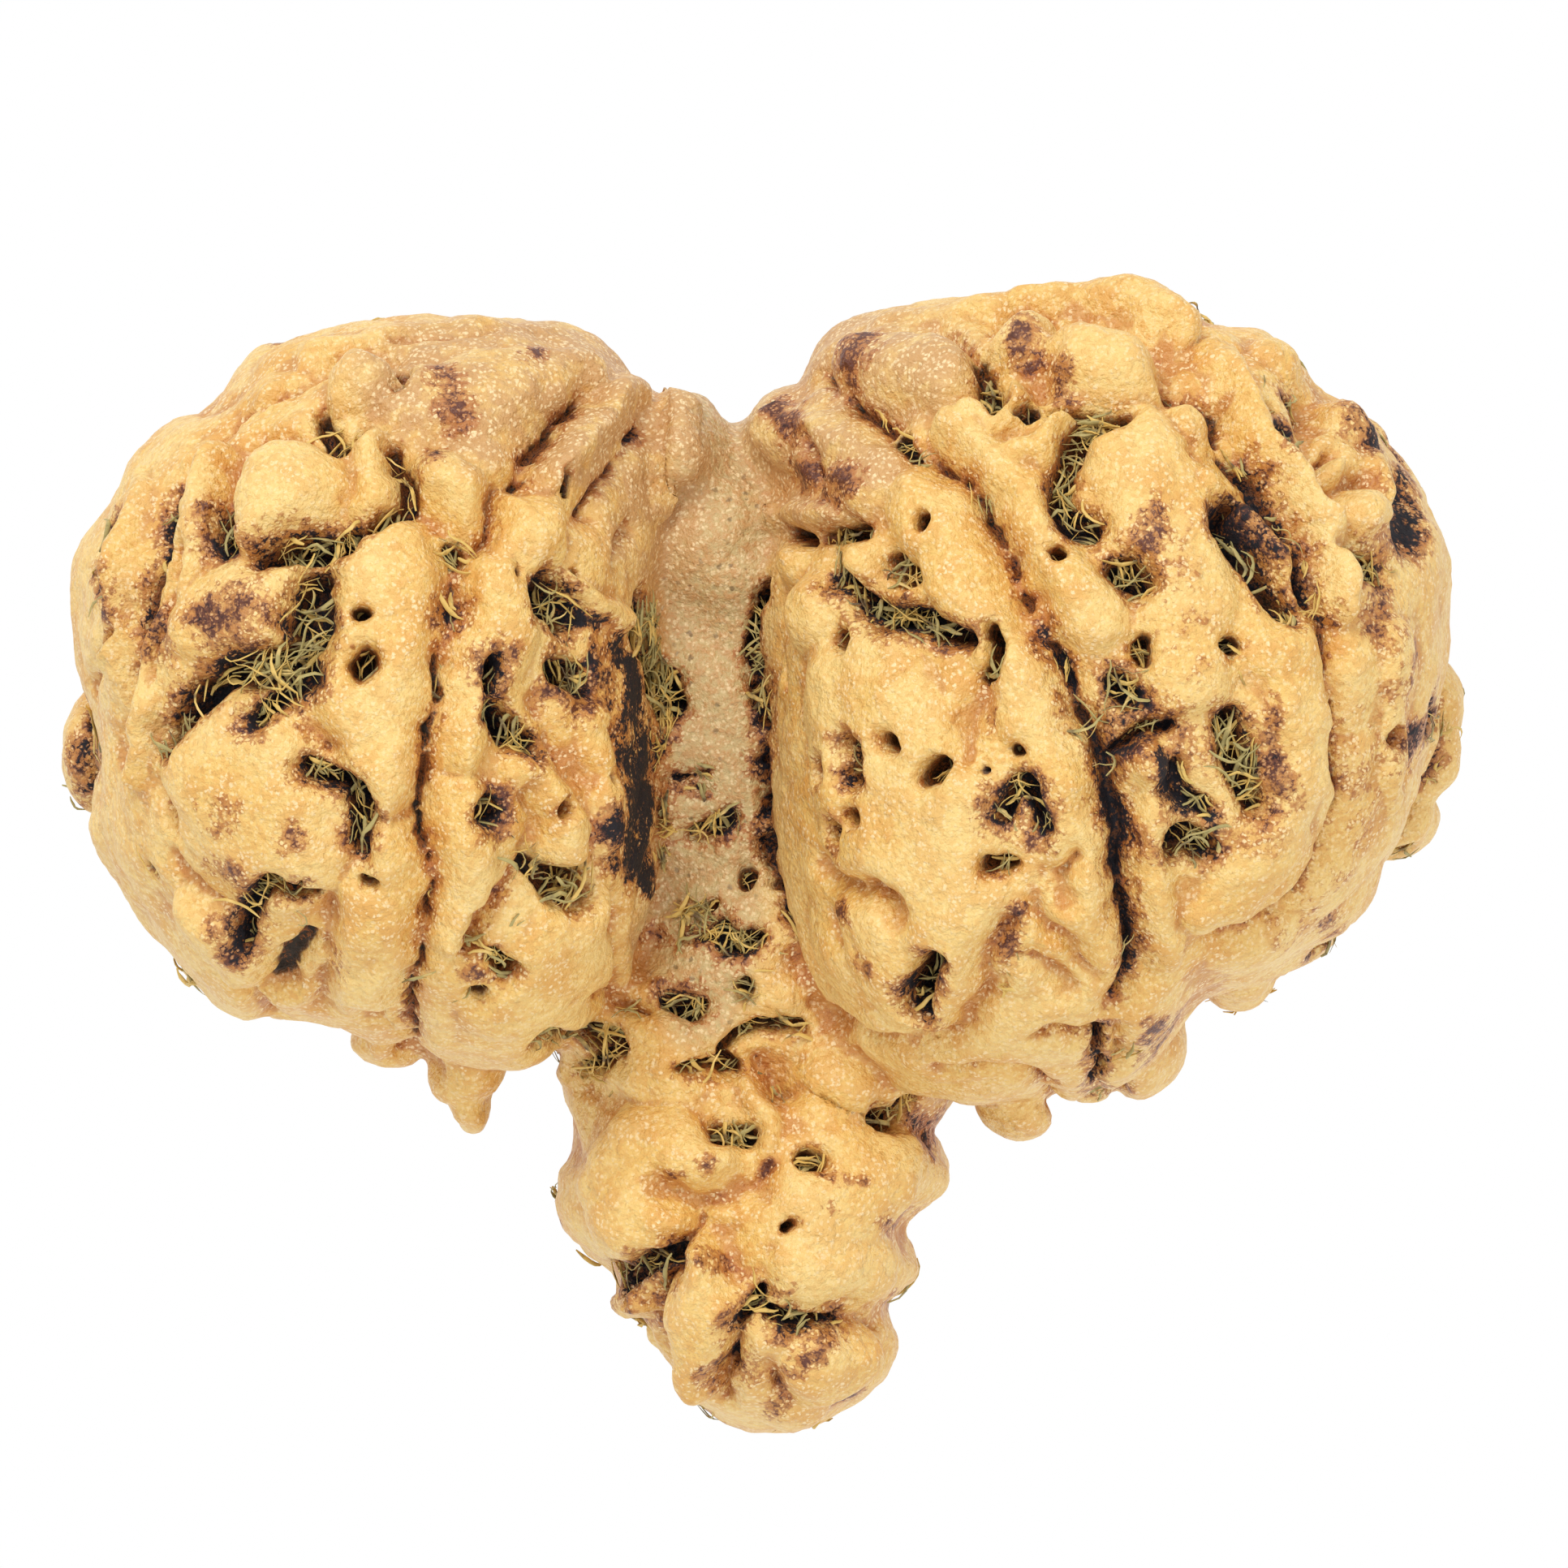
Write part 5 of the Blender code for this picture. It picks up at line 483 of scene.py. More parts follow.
# Stains on the surface, seen from above: how dark, how red-brown, then x, y, radius
stains = [
    # left lobe
    (0.7, 1.0, [(-17.9, 6.9, 0.45), (-17.8, 6.2, 0.5)]),
    (0.4, 0.9, [(-16.2, 6.6, 0.5), (-15.4, 7.3, 0.7)]),
    (0.6, 0.7, [(-13.5, 5.0, 0.5)]),
    (0.0, 0.75, [(-15.9, -0.4, 0.45)]),
    (0.0, 0.65, [(-13.9, 0.7, 0.35)]),
    (0.0, 0.55, [(-15.7, 1.3, 0.5)]),
    (0.0, 0.7, [(-17.0, -2.4, 0.3)]),
    (0.0, 0.6, [(-12.5, -3.0, 0.35)]),
    (0.0, 0.9, [(-9.6, 13.8, 0.4), (-9.2, 13.1, 0.5)]),
    (0.0, 0.7, [(-6.9, 14.5, 0.35)]),
    (0.6, 0.9, [(-9.6, 11.7, 0.35)]),
    (0.1, 0.85, [(-13.5, 3.9, 0.25), (-12.9, 3.2, 0.2)]),
    (0.0, 0.8, [(-5.5, 4.5, 0.5)]),
    (0.4, 0.9, [(-7.9, 1.0, 0.4), (-7.6, 0.5, 0.25)]),
    (0.3, 0.9, [(-8.3, 4.9, 0.3), (-8.2, 4.3, 0.2)]),
    (0.95, 1.0, [(-6.6, 7.4, 0.4), (-5.6, 6.9, 0.5), (-4.9, 6.9, 0.3)]),
    (0.5, 1.0, [(-6.1, 4.9, 0.3), (-5.2, 4.8, 0.4)]),
    (0.3, 0.9, [(-8.6, -3.4, 0.3)]),
    (0.5, 0.9, [(-14.6, -0.7, 0.3), (-13.4, -0.6, 0.2)]),
    (1.0, 1.0, [(-20.4, 3.2, 0.5), (-20.2, 2.1, 0.5)]),
    (1.12, 1.0, [(-4.2, 6.3, 0.35), (-3.9, 5.5, 0.55), (-3.7, 4.4, 0.6), (-3.6, 3.2, 0.8),
                 (-3.5, 2.0, 0.65), (-3.6, 0.8, 0.8), (-3.6, -0.3, 0.65), (-3.3, -1.1, 0.3)]),
    (0.75, 1.0, [(-4.9, 5.9, 0.25), (-4.5, 4.9, 0.3), (-4.6, 3.9, 0.2)]),
    (0.75, 1.0, [(-4.7, 1.6, 0.2), (-4.8, 0.9, 0.3), (-4.5, -0.2, 0.3)]),
    # right lobe
    (0.5, 1.0, [(0.2, 7.9, 0.25), (-0.2, 6.6, 0.3), (-0.15, 5.3, 0.3), (0.0, 4.2, 0.22), (0.05, 2.4, 0.18)]),
    (0.4, 0.95, [(0.6, 13.2, 0.35), (1.3, 12.5, 0.45)]),
    (0.3, 0.9, [(1.1, 11.3, 0.3), (2.2, 10.9, 0.5), (3.1, 11.0, 0.35)]),
    (0.0, 0.8, [(3.2, 14.9, 0.5), (2.6, 14.3, 0.4)]),
    (0.3, 0.9, [(8.8, 13.6, 0.35)]),
    (0.3, 0.9, [(7.7, 15.0, 0.3), (8.1, 14.6, 0.3)]),
    (0.8, 1.0, [(17.4, 12.6, 0.3), (18.2, 12.1, 0.35)]),
    (0.95, 1.0, [(19.0, 11.3, 0.5), (19.3, 10.2, 0.6), (19.1, 9.3, 0.5)]),
    (0.4, 0.9, [(18.4, 7.9, 0.3), (18.0, 6.8, 0.25)]),
    (0.6, 0.95, [(18.9, 3.2, 0.5), (19.8, 3.9, 0.35)]),
    (0.0, 0.75, [(19.2, 5.8, 0.4)]),
    (0.0, 0.75, [(16.8, -2.1, 0.4)]),
    (0.1, 0.8, [(11.6, -5.0, 0.3), (11.4, -6.3, 0.3), (12.4, -4.7, 0.3)]),
    (0.5, 0.95, [(15.1, 1.7, 0.3), (15.3, 3.0, 0.25), (14.9, 4.6, 0.2)]),
    (1.0, 1.0, [(11.8, 2.9, 0.4), (12.4, 1.6, 0.6), (13.2, 1.1, 0.35)]),
    (0.7, 0.95, [(11.2, 4.6, 0.35), (10.4, 3.9, 0.35)]),
    (0.0, 0.9, [(11.5, 9.9, 0.4), (11.4, 9.2, 0.4)]),
    (0.7, 1.0, [(13.4, 10.3, 0.3), (14.3, 9.9, 0.45), (15.0, 8.9, 0.4)]),
    (0.5, 1.0, [(7.5, -1.6, 0.2), (7.2, -2.7, 0.3)]),
    (0.1, 0.8, [(2.5, -1.4, 0.25), (2.9, -1.6, 0.2)]),
    (0.1, 0.8, [(3.4, -3.0, 0.25)]),
    (0.0, 0.75, [(6.7, 4.1, 0.25)]),
    (0.6, 0.9, [(4.4, 6.4, 0.3), (4.5, 7.3, 0.25)]),
    (0.6, 0.9, [(4.4, -7.9, 0.3), (5.0, -8.4, 0.35)]),
    (0.0, 0.7, [(8.0, 0.5, 0.25), (8.6, 0.8, 0.25)]),
    (0.0, 0.2, [(11.5, 9.5, 1.1), (12.5, 5.5, 1.3), (14.0, 1.0, 1.3)]),
    (0.0, 0.22, [(18.4, 10.8, 0.8), (18.8, 6.0, 0.8), (18.0, 1.5, 0.8), (15.6, -2.4, 0.6)]),
    # tail
    (0.0, 0.7, [(-3.0, -9.6, 0.12), (-2.2, -9.4, 0.12)]),
    (0.1, 0.95, [(-1.55, -9.3, 0.2)]),
    (0.0, 0.8, [(0.0, -9.6, 0.15), (0.1, -9.1, 0.15)]),
    (0.0, 0.8, [(1.3, -9.5, 0.1), (2.7, -9.7, 0.1)]),
    (0.1, 0.8, [(1.8, -10.5, 0.18)]),
    (0.1, 0.75, [(3.1, -10.9, 0.2), (3.7, -11.1, 0.2), (4.5, -10.5, 0.2)]),
    (0.3, 0.9, [(-1.7, -11.9, 0.2), (-1.0, -12.3, 0.25)]),
    (0.0, 0.7, [(-3.2, -13.4, 0.15), (-2.6, -12.9, 0.15)]),
    (0.3, 0.95, [(0.2, -13.0, 0.15), (0.9, -12.7, 0.15)]),
    (0.0, 0.75, [(1.5, -14.5, 0.25), (0.7, -15.1, 0.2), (2.2, -14.1, 0.12)]),
    (0.1, 0.85, [(0.7, -16.1, 0.22), (0.3, -16.8, 0.2)]),
    (0.3, 0.9, [(3.0, -15.6, 0.22), (2.9, -16.0, 0.22), (2.1, -16.5, 0.2)]),
    (0.0, 0.7, [(3.8, -13.2, 0.25)]),
    (0.0, 0.8, [(-3.1, -14.3, 0.2)]),
    (0.0, 0.6, [(-2.4, -6.7, 0.2), (-1.6, -6.8, 0.15)]),
]

# Zones of another finish: name, then x, y, radius
zones = [
    ("valley", [(-1.2, 13.0, 1.3), (-1.3, 10.0, 1.8), (-1.4, 7.0, 1.7), (-1.5, 3.0, 1.5), (-1.4, 0.0, 1.7),
                (-1.6, -2.5, 1.7), (-1.8, -4.5, 1.3)]),
    ("crust", [(-4.0, 14.5, 1.3), (-7.0, 14.3, 2.0), (-10.0, 13.8, 2.0), (-8.5, 12.3, 1.2)]),
    ("crust", [(-5.6, 12.2, 1.6), (-3.2, 12.0, 1.8), (-3.2, 9.5, 1.5)]),
    ("crust", [(1.8, 14.4, 1.5), (4.6, 14.6, 1.7)]),
    ("crust", [(0.8, 12.4, 1.5), (3.0, 11.3, 1.4), (1.2, 10.0, 1.0)]),
]

formSettings = {
    "voxel": 0.13,   # fineness of the working mesh, in mm
    "melt": 1.2,              # how far the joined swells melt together
    "rimSteps": 720,
    "rimBumps": (3, 22),      # steps that the rim is evened over, at its height and elsewhere
    "rimFade": (0.25, 0.75),  # share of the half height over which the rim's bumps fade
    "triangles": 195000,
    "chainStep": 0.5,
    "wallSteepness": 2.5,
    "stainSquash": (1, 1, 0.3),
    "levelDepth": 0.8,        # a carving this deep takes all raised relief away
    "wallDepth": 0.8,         # deeper carvings get painted shade on their walls
    "restFade": (0.4, 1.3),   # heights over which the relief fades out where the bead rests
    "restTrim": 0.25,
    "fibresFrom": 1.4,        # no fibres in what lies lower, where the bead rests
    "valleySmoothing": 160,
    "valleyReach": (1.0, 3.4, -7.5, 14.5),   # full and last half width, front and back end
    "hollowPasses": (12, 80),
    # how far and how often the underside's lines are moved along x and along y
    "wander": ((0.9, 0.55), (0.8, 0.5)),
    # size and amount in mm of the waver in every drawn line, and of the wrinkles all over
    "waver": [(1.5, 0.24), (0.55, 0.11), (0.25, 0.04)],
    "wrinkles": [(3.0, 0.45), (1.4, 0.12), (0.5, 0.045)],
}

# Clefts and pits round the sides: the swell, the height and the two directions in degrees
sideSettings = {
    "clefts": [("leftLobe", 4.6, (60, 262)), ("leftLobe", 9.0, (75, 235)), ("rightLobe", 4.8, (-70, 118)),
               ("rightLobe", 9.4, (-40, 100)), ("tail", 3.4, (200, 335))],
    "pits": [("leftLobe", 6.9, (50, 265)), ("leftLobe", 11.0, (80, 230)), ("rightLobe", 7.2, (-75, 125)),
             ("rightLobe", 11.4, (-30, 105)), ("tail", 5.6, (170, 360))],
    "seed": 7,
    "step": 3,
    "waves": [(13, 0.5), (5, 0.3)],
    "cleftHalfWidth": 0.16,
    "pitSpacing": 21,
    "pitWander": 12,
    "pitRise": 0.9,
    "pitHalfWidths": (0.28, 0.5),
    "cleftFibres": 20,
    "pitFibres": 12,
}


def smoothStep(low, high, value):
    part = np.clip((value - low) / (high - low), 0, 1)
    return part * part * (3 - 2 * part)


def getPoints(piece):
    points = np.empty(len(piece.data.vertices) * 3)
    piece.data.vertices.foreach_get("co", points)
    return points.reshape(-1, 3)


def setPoints(piece, points):
    piece.data.vertices.foreach_set("co", points.ravel())
    piece.data.update()


def getNormals(piece):
    found = np.empty(len(piece.data.vertices) * 3)
    piece.data.vertices.foreach_get("normal", found)
    return found.reshape(-1, 3)


def applyModifier(piece, kind, **settings):
    bpy.context.view_layer.objects.active = piece
    modifier = piece.modifiers.new(kind.title(), kind)
    for name, value in settings.items():
        setattr(modifier, name, value)
    bpy.ops.object.modifier_apply(modifier=modifier.name)


def smoothRing(values, width):
    reach = np.arange(-3 * width, 3 * width + 1)
    bell = np.exp(-0.5 * (reach / width) ** 2)
    around = np.concatenate([values[-3 * width:], values, values[:3 * width]])
    return np.convolve(around, bell / bell.sum(), mode="valid")


def rimRadius(middle, rim, count):
    # distance from the middle to the rim outline in each of count directions
    start = np.array(rim) - middle[:2]
    side = np.roll(start, -1, axis=0) - start
    turn = np.arange(count) * 2 * math.pi / count
    ray = np.stack([np.cos(turn), np.sin(turn)], axis=1)
    cross = ray[:, None, 0] * side[None, :, 1] - ray[:, None, 1] * side[None, :, 0]
    cross = np.where(np.abs(cross) < 1e-9, 1e-9, cross)
    reach = (start[:, 0] * side[:, 1] - start[:, 1] * side[:, 0])[None, :] / cross
    along = (start[None, :, 0] * ray[:, None, 1] - start[None, :, 1] * ray[:, None, 0]) / cross
    hit = (reach > 0) & (along >= 0) & (along <= 1)
    return np.where(hit, reach, 0).max(axis=1)


def addSwell(swell):
    # a sphere drawn out to its rim outline, whose bumps fade towards the top and bottom
    bpy.ops.mesh.primitive_uv_sphere_add(segments=360, ring_count=120, radius=1)
    ball = bpy.context.object
    count = formSettings["rimSteps"]
    nearWidth, farWidth = formSettings["rimBumps"]
    sharp = smoothRing(rimRadius(swell["middle"], swell["rim"], count), nearWidth)
    plain = smoothRing(sharp, farWidth)
    points = getPoints(ball)
    turn = np.arctan2(points[:, 1], points[:, 0]) % (2 * math.pi)
    sample = turn / (2 * math.pi) * count
    ends = np.arange(count + 1)
    sharpHere = np.interp(sample, ends, np.append(sharp, sharp[0]))
    plainHere = np.interp(sample, ends, np.append(plain, plain[0]))
    rise = np.clip(points[:, 2], -1, 1)
    bumps = 1 - smoothStep(*formSettings["rimFade"], np.abs(rise))
    radius = plainHere + (sharpHere - plainHere) * bumps
    power = 2 / swell["fullness"]
    across = (1 - rise ** 2) ** (power / 2)
    points[:, 0] = swell["middle"][0] + np.cos(turn) * radius * across
    points[:, 1] = swell["middle"][1] + np.sin(turn) * radius * across
    points[:, 2] = swell["middle"][2] + np.sign(rise) * np.abs(rise) ** power * swell["halfHeight"]
    setPoints(ball, points)
    return ball


def plainForm():
    bpy.ops.object.select_all(action="DESELECT")
    pieces = [addSwell(swell) for swell in swells.values()]
    for x, y, z, *radii in lumps:
        bpy.ops.mesh.primitive_uv_sphere_add(segments=64, ring_count=32, radius=1)
        ball = bpy.context.object
        ball.data.transform(Matrix.LocRotScale(Vector((x, y, z)), None, Vector(radii)))
        pieces.append(ball)
    bpy.ops.object.select_all(action="DESELECT")
    for piece in pieces:
        piece.select_set(True)
    bpy.context.view_layer.objects.active = pieces[0]
    bpy.ops.object.join()
    body = bpy.context.object
    applyModifier(body, "REMESH", mode="VOXEL", voxel_size=formSettings["voxel"])
    meltPasses = int(formSettings["melt"] / formSettings["voxel"])
    applyModifier(body, "SMOOTH", factor=0.5, iterations=meltPasses)
    return body


def laidLine(tree, line, fromAbove=True):
    # a map line closely spaced and dropped on the form, with its widths
    line = np.array(line)
    if len(line) > 1:
        spans = np.linalg.norm(np.diff(line[:, :2], axis=0), axis=1)
        along = np.concatenate([[0], np.cumsum(spans)])
        steps = np.linspace(0, along[-1], max(2, math.ceil(along[-1] / formSettings["chainStep"]) + 1))
        line = np.stack([np.interp(steps, along, line[:, i]) for i in range(3)], axis=1)
    up = 1 if fromAbove else -1
    laid = []
    for x, y, _ in line:
        hit = tree.ray_cast(Vector((x, y, 10 + up * 50)), Vector((0, 0, -up)))[0]
        if hit is None:
            hit = tree.find_nearest(Vector((x, y, 10)))[0]
        laid.append(hit)
    return np.array(laid), line[:, 2]


def lineDistance(points, order, laid, widths, reach):
    # the points near a laid line, their distance from it and its width where each is nearest
    first, last = np.searchsorted(points[order, 0], (laid[:, 0].min() - reach, laid[:, 0].max() + reach))
    near = order[first:last]
    there = points[near]
    for axis in (1, 2):
        low, high = laid[:, axis].min() - reach, laid[:, axis].max() + reach
        inside = (there[:, axis] > low) & (there[:, axis] < high)
        near, there = near[inside], there[inside]
    distance = np.full(len(near), 1e3)
    width = np.full(len(near), widths[0])
    for i in range(max(1, len(laid) - 1)):
        start, end = laid[i], laid[min(i + 1, len(laid) - 1)]
        side = end - start
        share = np.clip((there - start) @ side / max(side @ side, 1e-9), 0, 1)
        apart = np.linalg.norm(there - start - share[:, None] * side, axis=1)
        here = widths[i] + share * (widths[min(i + 1, len(laid) - 1)] - widths[i])
        closer = apart - here < distance - width
        distance[closer] = apart[closer]
        width[closer] = here[closer]
    return near, distance, width


def sideLine(tree, swell, height, turns, width):
    # a line that follows a swell's rim at this height between two directions
    radius = rimRadius(swell["middle"], swell["rim"], 360)
    laid = []
    for turn in np.arange(turns[0], turns[1] + 1, sideSettings["step"]):
        wave = height + sum(amount * math.sin(turn / spread) for spread, amount in sideSettings["waves"])
        reach = radius[int(turn) % 360]
        x = swell["middle"][0] + reach * math.cos(math.radians(turn))
        y = swell["middle"][1] + reach * math.sin(math.radians(turn))
        laid.append(tree.find_nearest(Vector((x, y, wave)))[0])
    return np.array(laid), np.full(len(laid), width)


def sideCuts(tree):
    found = []
    for name, height, turns in sideSettings["clefts"]:
        laid, widths = sideLine(tree, swells[name], height, turns, sideSettings["cleftHalfWidth"])
        found.append(("cleft", sideSettings["cleftFibres"], laid, widths))
    draw = random.Random(sideSettings["seed"])
    for name, height, turns in sideSettings["pits"]:
        for turn in np.arange(turns[0], turns[1], sideSettings["pitSpacing"]):
            first = turn + draw.uniform(0, sideSettings["pitWander"])
            last = first + draw.choice((0, sideSettings["step"], 2 * sideSettings["step"]))
            level = height + draw.uniform(-sideSettings["pitRise"], sideSettings["pitRise"])
            size = draw.uniform(*sideSettings["pitHalfWidths"])
            kindName = ("pocket", "stained", "pit", "deep")[len(found) % 4]
            laid, widths = sideLine(tree, swells[name], level, (first, last), size)
            found.append((kindName, sideSettings["pitFibres"], laid, widths))
    return found


def wandered(line):
    # moved a little by a rule, so that the underside isn't the top's mirror image
    (wideX, oftenX), (wideY, oftenY) = formSettings["wander"]
    return [(x + wideX * math.sin(oftenX * y), y + wideY * math.sin(oftenY * x + 1), width)
            for x, y, width in line]


noiseTable = np.random.default_rng(11).permutation(256)
noiseSlopes = np.random.default_rng(12).normal(size=(256, 3))
noiseSlopes /= np.linalg.norm(noiseSlopes, axis=1)[:, None]


def softNoise(points, size, seed=0):
    # smooth noise from about -1 to 1, with features of this size in mm
    place = points / size + seed * 17.37
    cell = np.floor(place).astype(np.int64)
    part = place - cell
    fade = part ** 3 * (part * (part * 6 - 15) + 10)
    total = np.zeros(len(points))
    for corner in np.ndindex(2, 2, 2):
        at = (cell + corner) & 255
        code = noiseTable[(noiseTable[(noiseTable[at[:, 0]] + at[:, 1]) & 255] + at[:, 2]) & 255]
        slope = (noiseSlopes[code] * (part - corner)).sum(axis=1)
        weight = np.where(corner, fade, 1 - fade).prod(axis=1)
        total += slope * weight
    return total * 1.6


maskNames = ("inner", "valley", "crust", "halo", "dark")


def layMaps(body):
    # relief height, the stain and zone masks and the mask for painted shade in deep pits for every vertex,
    # and the beds that dried fibres lie in
    points = getPoints(body)
    upright = getNormals(body)[:, 2]
    tree = BVHTree.FromPolygons(points.tolist(), [tuple(face.vertices) for face in body.data.polygons])
    bent = points.copy()
    for size, amount in formSettings["waver"]:
        for axis in range(3):
            bent[:, axis] += amount * softNoise(points, size, axis + 1)
    order = np.argsort(bent[:, 0])
    plan = bent * formSettings["stainSquash"]
    flat = bent * (1, 1, 0)
    found = {name: np.zeros(len(points)) for name in ("up", "down", *maskNames)}
    cuts = sideCuts(tree)
    for fromAbove in (True, False):
        move = (lambda line: line) if fromAbove else wandered
        facing = smoothStep(-0.35, 0.0, upright if fromAbove else -upright)
        for height, crown, line in raised:
            laid, radii = laidLine(tree, move(line), fromAbove)
            near, distance, radius = lineDistance(bent, order, laid, radii, radii.max())
            inside = np.clip(1 - distance / radius, 0, 1)
            found["up"][near] = np.maximum(found["up"][near], height * (1 - (1 - inside) ** crown))
        for kindName, strands, line in carved:
            cuts.append((kindName, strands, *laidLine(tree, move(line), fromAbove)))
        for dark, halo, line in stains:
            laid, radii = laidLine(tree, move(line), fromAbove)
            laid = laid * formSettings["stainSquash"]
            near, distance, radius = lineDistance(plan, order, laid, radii, 3 * radii.max())
            spread = facing[near] * (1 - smoothStep(0.2, 2.2, distance / radius))
            core = facing[near] * (1 - smoothStep(0.2, 1.7, distance / radius))
            found["dark"][near] = np.maximum(found["dark"][near], dark * core)
            found["halo"][near] = np.maximum(found["halo"][near], halo * spread)
        for name, line in zones:
            line = np.array(move(line))
            radii = line[:, 2]
            near, distance, radius = lineDistance(flat, order, line * (1, 1, 0), radii, radii.max() + 0.6)
            inZone = facing[near] * (1 - smoothStep(-0.7, 0.5, distance - radius))
            found[name][near] = np.maximum(found[name][near], inZone)
    beds = []
    for kindName, strands, laid, widths in cuts:
        kind = cutKinds[kindName]
        if strands and laid[:, 2].min() > formSettings["fibresFrom"]:
            beds.append((strands, kind["depth"], laid, widths))
        reach = widths.max() + max(kind["lip"], kind["spread"])
        near, distance, width = lineDistance(bent, order, laid, widths, reach)
        outside = np.clip(1 - (distance - width) / kind["lip"], 0, 1)
        within = np.clip(distance / width, 0, 1) ** formSettings["wallSteepness"]
        depth = kind["lipDepth"] * outside ** 2 + (kind["depth"] - kind["lipDepth"]) * (1 - within)
        found["down"][near] = np.maximum(found["down"][near], depth)
        # the inside of the deeper carvings, where shade is painted
        if kind["depth"] > formSettings["wallDepth"]:
            found["inner"][near] = np.maximum(found["inner"][near], 1 - within)
        spread = 1 - smoothStep(-0.1, kind["spread"], distance - width)
        found["halo"][near] = np.maximum(found["halo"][near], kind["halo"] * spread)
        core = 1 - smoothStep(-0.15, 0.45 * kind["spread"], distance - width)
        found["dark"][near] = np.maximum(found["dark"][near], kind["dark"] * core)
    found["up"] *= smoothStep(0.0, 0.5, np.abs(upright))
    level = found["up"] * np.clip(1 - found["down"] / formSettings["levelDepth"], 0, 1) - found["down"]
    for size, amount in formSettings["wrinkles"]:
        level += amount * (np.abs(softNoise(points, size, 7)) - 0.3)
    return level * smoothStep(*formSettings["restFade"], points[:, 2]), found, beds, tree


def evened(values, edges, count, times):
    # values averaged with their neighbours over the mesh, this many times
    share = 1 / np.maximum(np.bincount(edges.ravel(), minlength=count), 1)
    for _ in range(times):
        total = np.stack([np.bincount(edges[:, 0], values[edges[:, 1], i], count)
                          + np.bincount(edges[:, 1], values[edges[:, 0], i], count)
                          for i in range(values.shape[1])], axis=1)
        values = 0.5 * values + 0.5 * total * share[:, None]
    return values


def addMask(piece, name, values):
    attribute = piece.data.attributes.new(name, "FLOAT", "POINT")
    attribute.data.foreach_set("value", values.astype(np.float32))


def smoothValley(body):
    # the lumps under the valley are melted into one trough
    points = getPoints(body)
    line = np.array([(x, y, radius) for name, spots in zones if name == "valley" for x, y, radius in spots])
    centre = np.interp(points[:, 1], line[::-1, 1], line[::-1, 0])
    off = np.abs(points[:, 0] - centre)
    full, last, front, back = formSettings["valleyReach"]
    weight = (1 - smoothStep(full, last, off)) * (points[:, 1] < back) * (points[:, 1] > front)
    group = body.vertex_groups.new(name="trough")
    for step in range(1, 11):
        chosen = np.nonzero((weight > (step - 1) / 10) & (weight <= step / 10))[0]
        group.add(chosen.tolist(), step / 10, "REPLACE")
    applyModifier(body, "SMOOTH", factor=0.5, iterations=formSettings["valleySmoothing"],
                  vertex_group="trough")


bead = plainForm()
bead.name = "beadSkin"
smoothValley(bead)
print("plain form", len(bead.data.vertices))
level, maps, beds, formTree = layMaps(bead)
setPoints(bead, getPoints(bead) + getNormals(bead) * level[:, None])
for name in maskNames:
    addMask(bead, name, maps[name])
applyModifier(bead, "SMOOTH", factor=0.5, iterations=1)
applyModifier(bead, "TRIANGULATE")
if len(bead.data.polygons) > formSettings["triangles"]:
    applyModifier(bead, "DECIMATE", ratio=formSettings["triangles"] / len(bead.data.polygons))

# How hollow the surface is at two scales, for the painted shade in the creases and the painted light on the
# ridges
edges = np.empty(len(bead.data.edges) * 2, np.int32)
bead.data.edges.foreach_get("vertices", edges)
edges = edges.reshape(-1, 2)
points = getPoints(bead)
fewPasses, manyPasses = formSettings["hollowPasses"]
evenedOnce = evened(points, edges, len(points), fewPasses)
evenedMore = evened(evenedOnce, edges, len(points), manyPasses)
normals = getNormals(bead)
addMask(bead, "crease", ((evenedOnce - points) * normals).sum(axis=1))
addMask(bead, "hollow", ((evenedMore - points) * normals).sum(axis=1))
print("relief laid", len(bead.data.polygons))

# Brought to the frame: the same width as the CAD bead, and its rest plane on the floor
points[:, 2] = np.maximum(points[:, 2] - formSettings["restTrim"], 0)
low, high = points.min(axis=0), points.max(axis=0)
scale = (cadNode[1].x - cadNode[0].x) / (high[0] - low[0])
shift = np.array([(low[0] + high[0]) / 2, (low[1] + high[1]) / 2, 0])
setPoints(bead, (points - shift) * scale)
bead.data.shade_smooth()
bead.data.materials.clear()
print("scale", scale, "shift", shift)

fieldWidth = photo["width"] / photo["pixelsPerMm"] * scale
bpy.ops.object.camera_add()
camera = bpy.context.object
camera.data.lens = photo["lens"]
camera.data.sensor_width = 36
camera.data.clip_end = 20
camera.location = (
    ((photo["width"] / 2 - photo["mapOrigin"][0]) / photo["pixelsPerMm"] - shift[0]) * scale,
    ((photo["mapOrigin"][1] - photo["width"] / 2) / photo["pixelsPerMm"] - shift[1]) * scale,
    photo["rimHeight"] * scale + fieldWidth * camera.data.lens / camera.data.sensor_width,
)
bpy.context.scene.camera = camera
print("camera set")


# Dried fibres left in the pits and clefts
fibreSettings = {
    "seed": 5,
    "share": 1.5,             # of the strands that the lists ask for
    "bundle": 4,              # strands that lie together
    "length": (0.5, 1.9),     # in mm
    "halfWidth": (0.02, 0.062),
    "flatness": (0.4, 0.9),   # thickness and width of a strand, in half widths
    "lift": 0.45,             # how steeply strands rise out of their bed
    "curl": 1.1,
    "kink": 0.28,
    "points": 8,
    "highest": 0.12,          # above the plain form, in mm
}


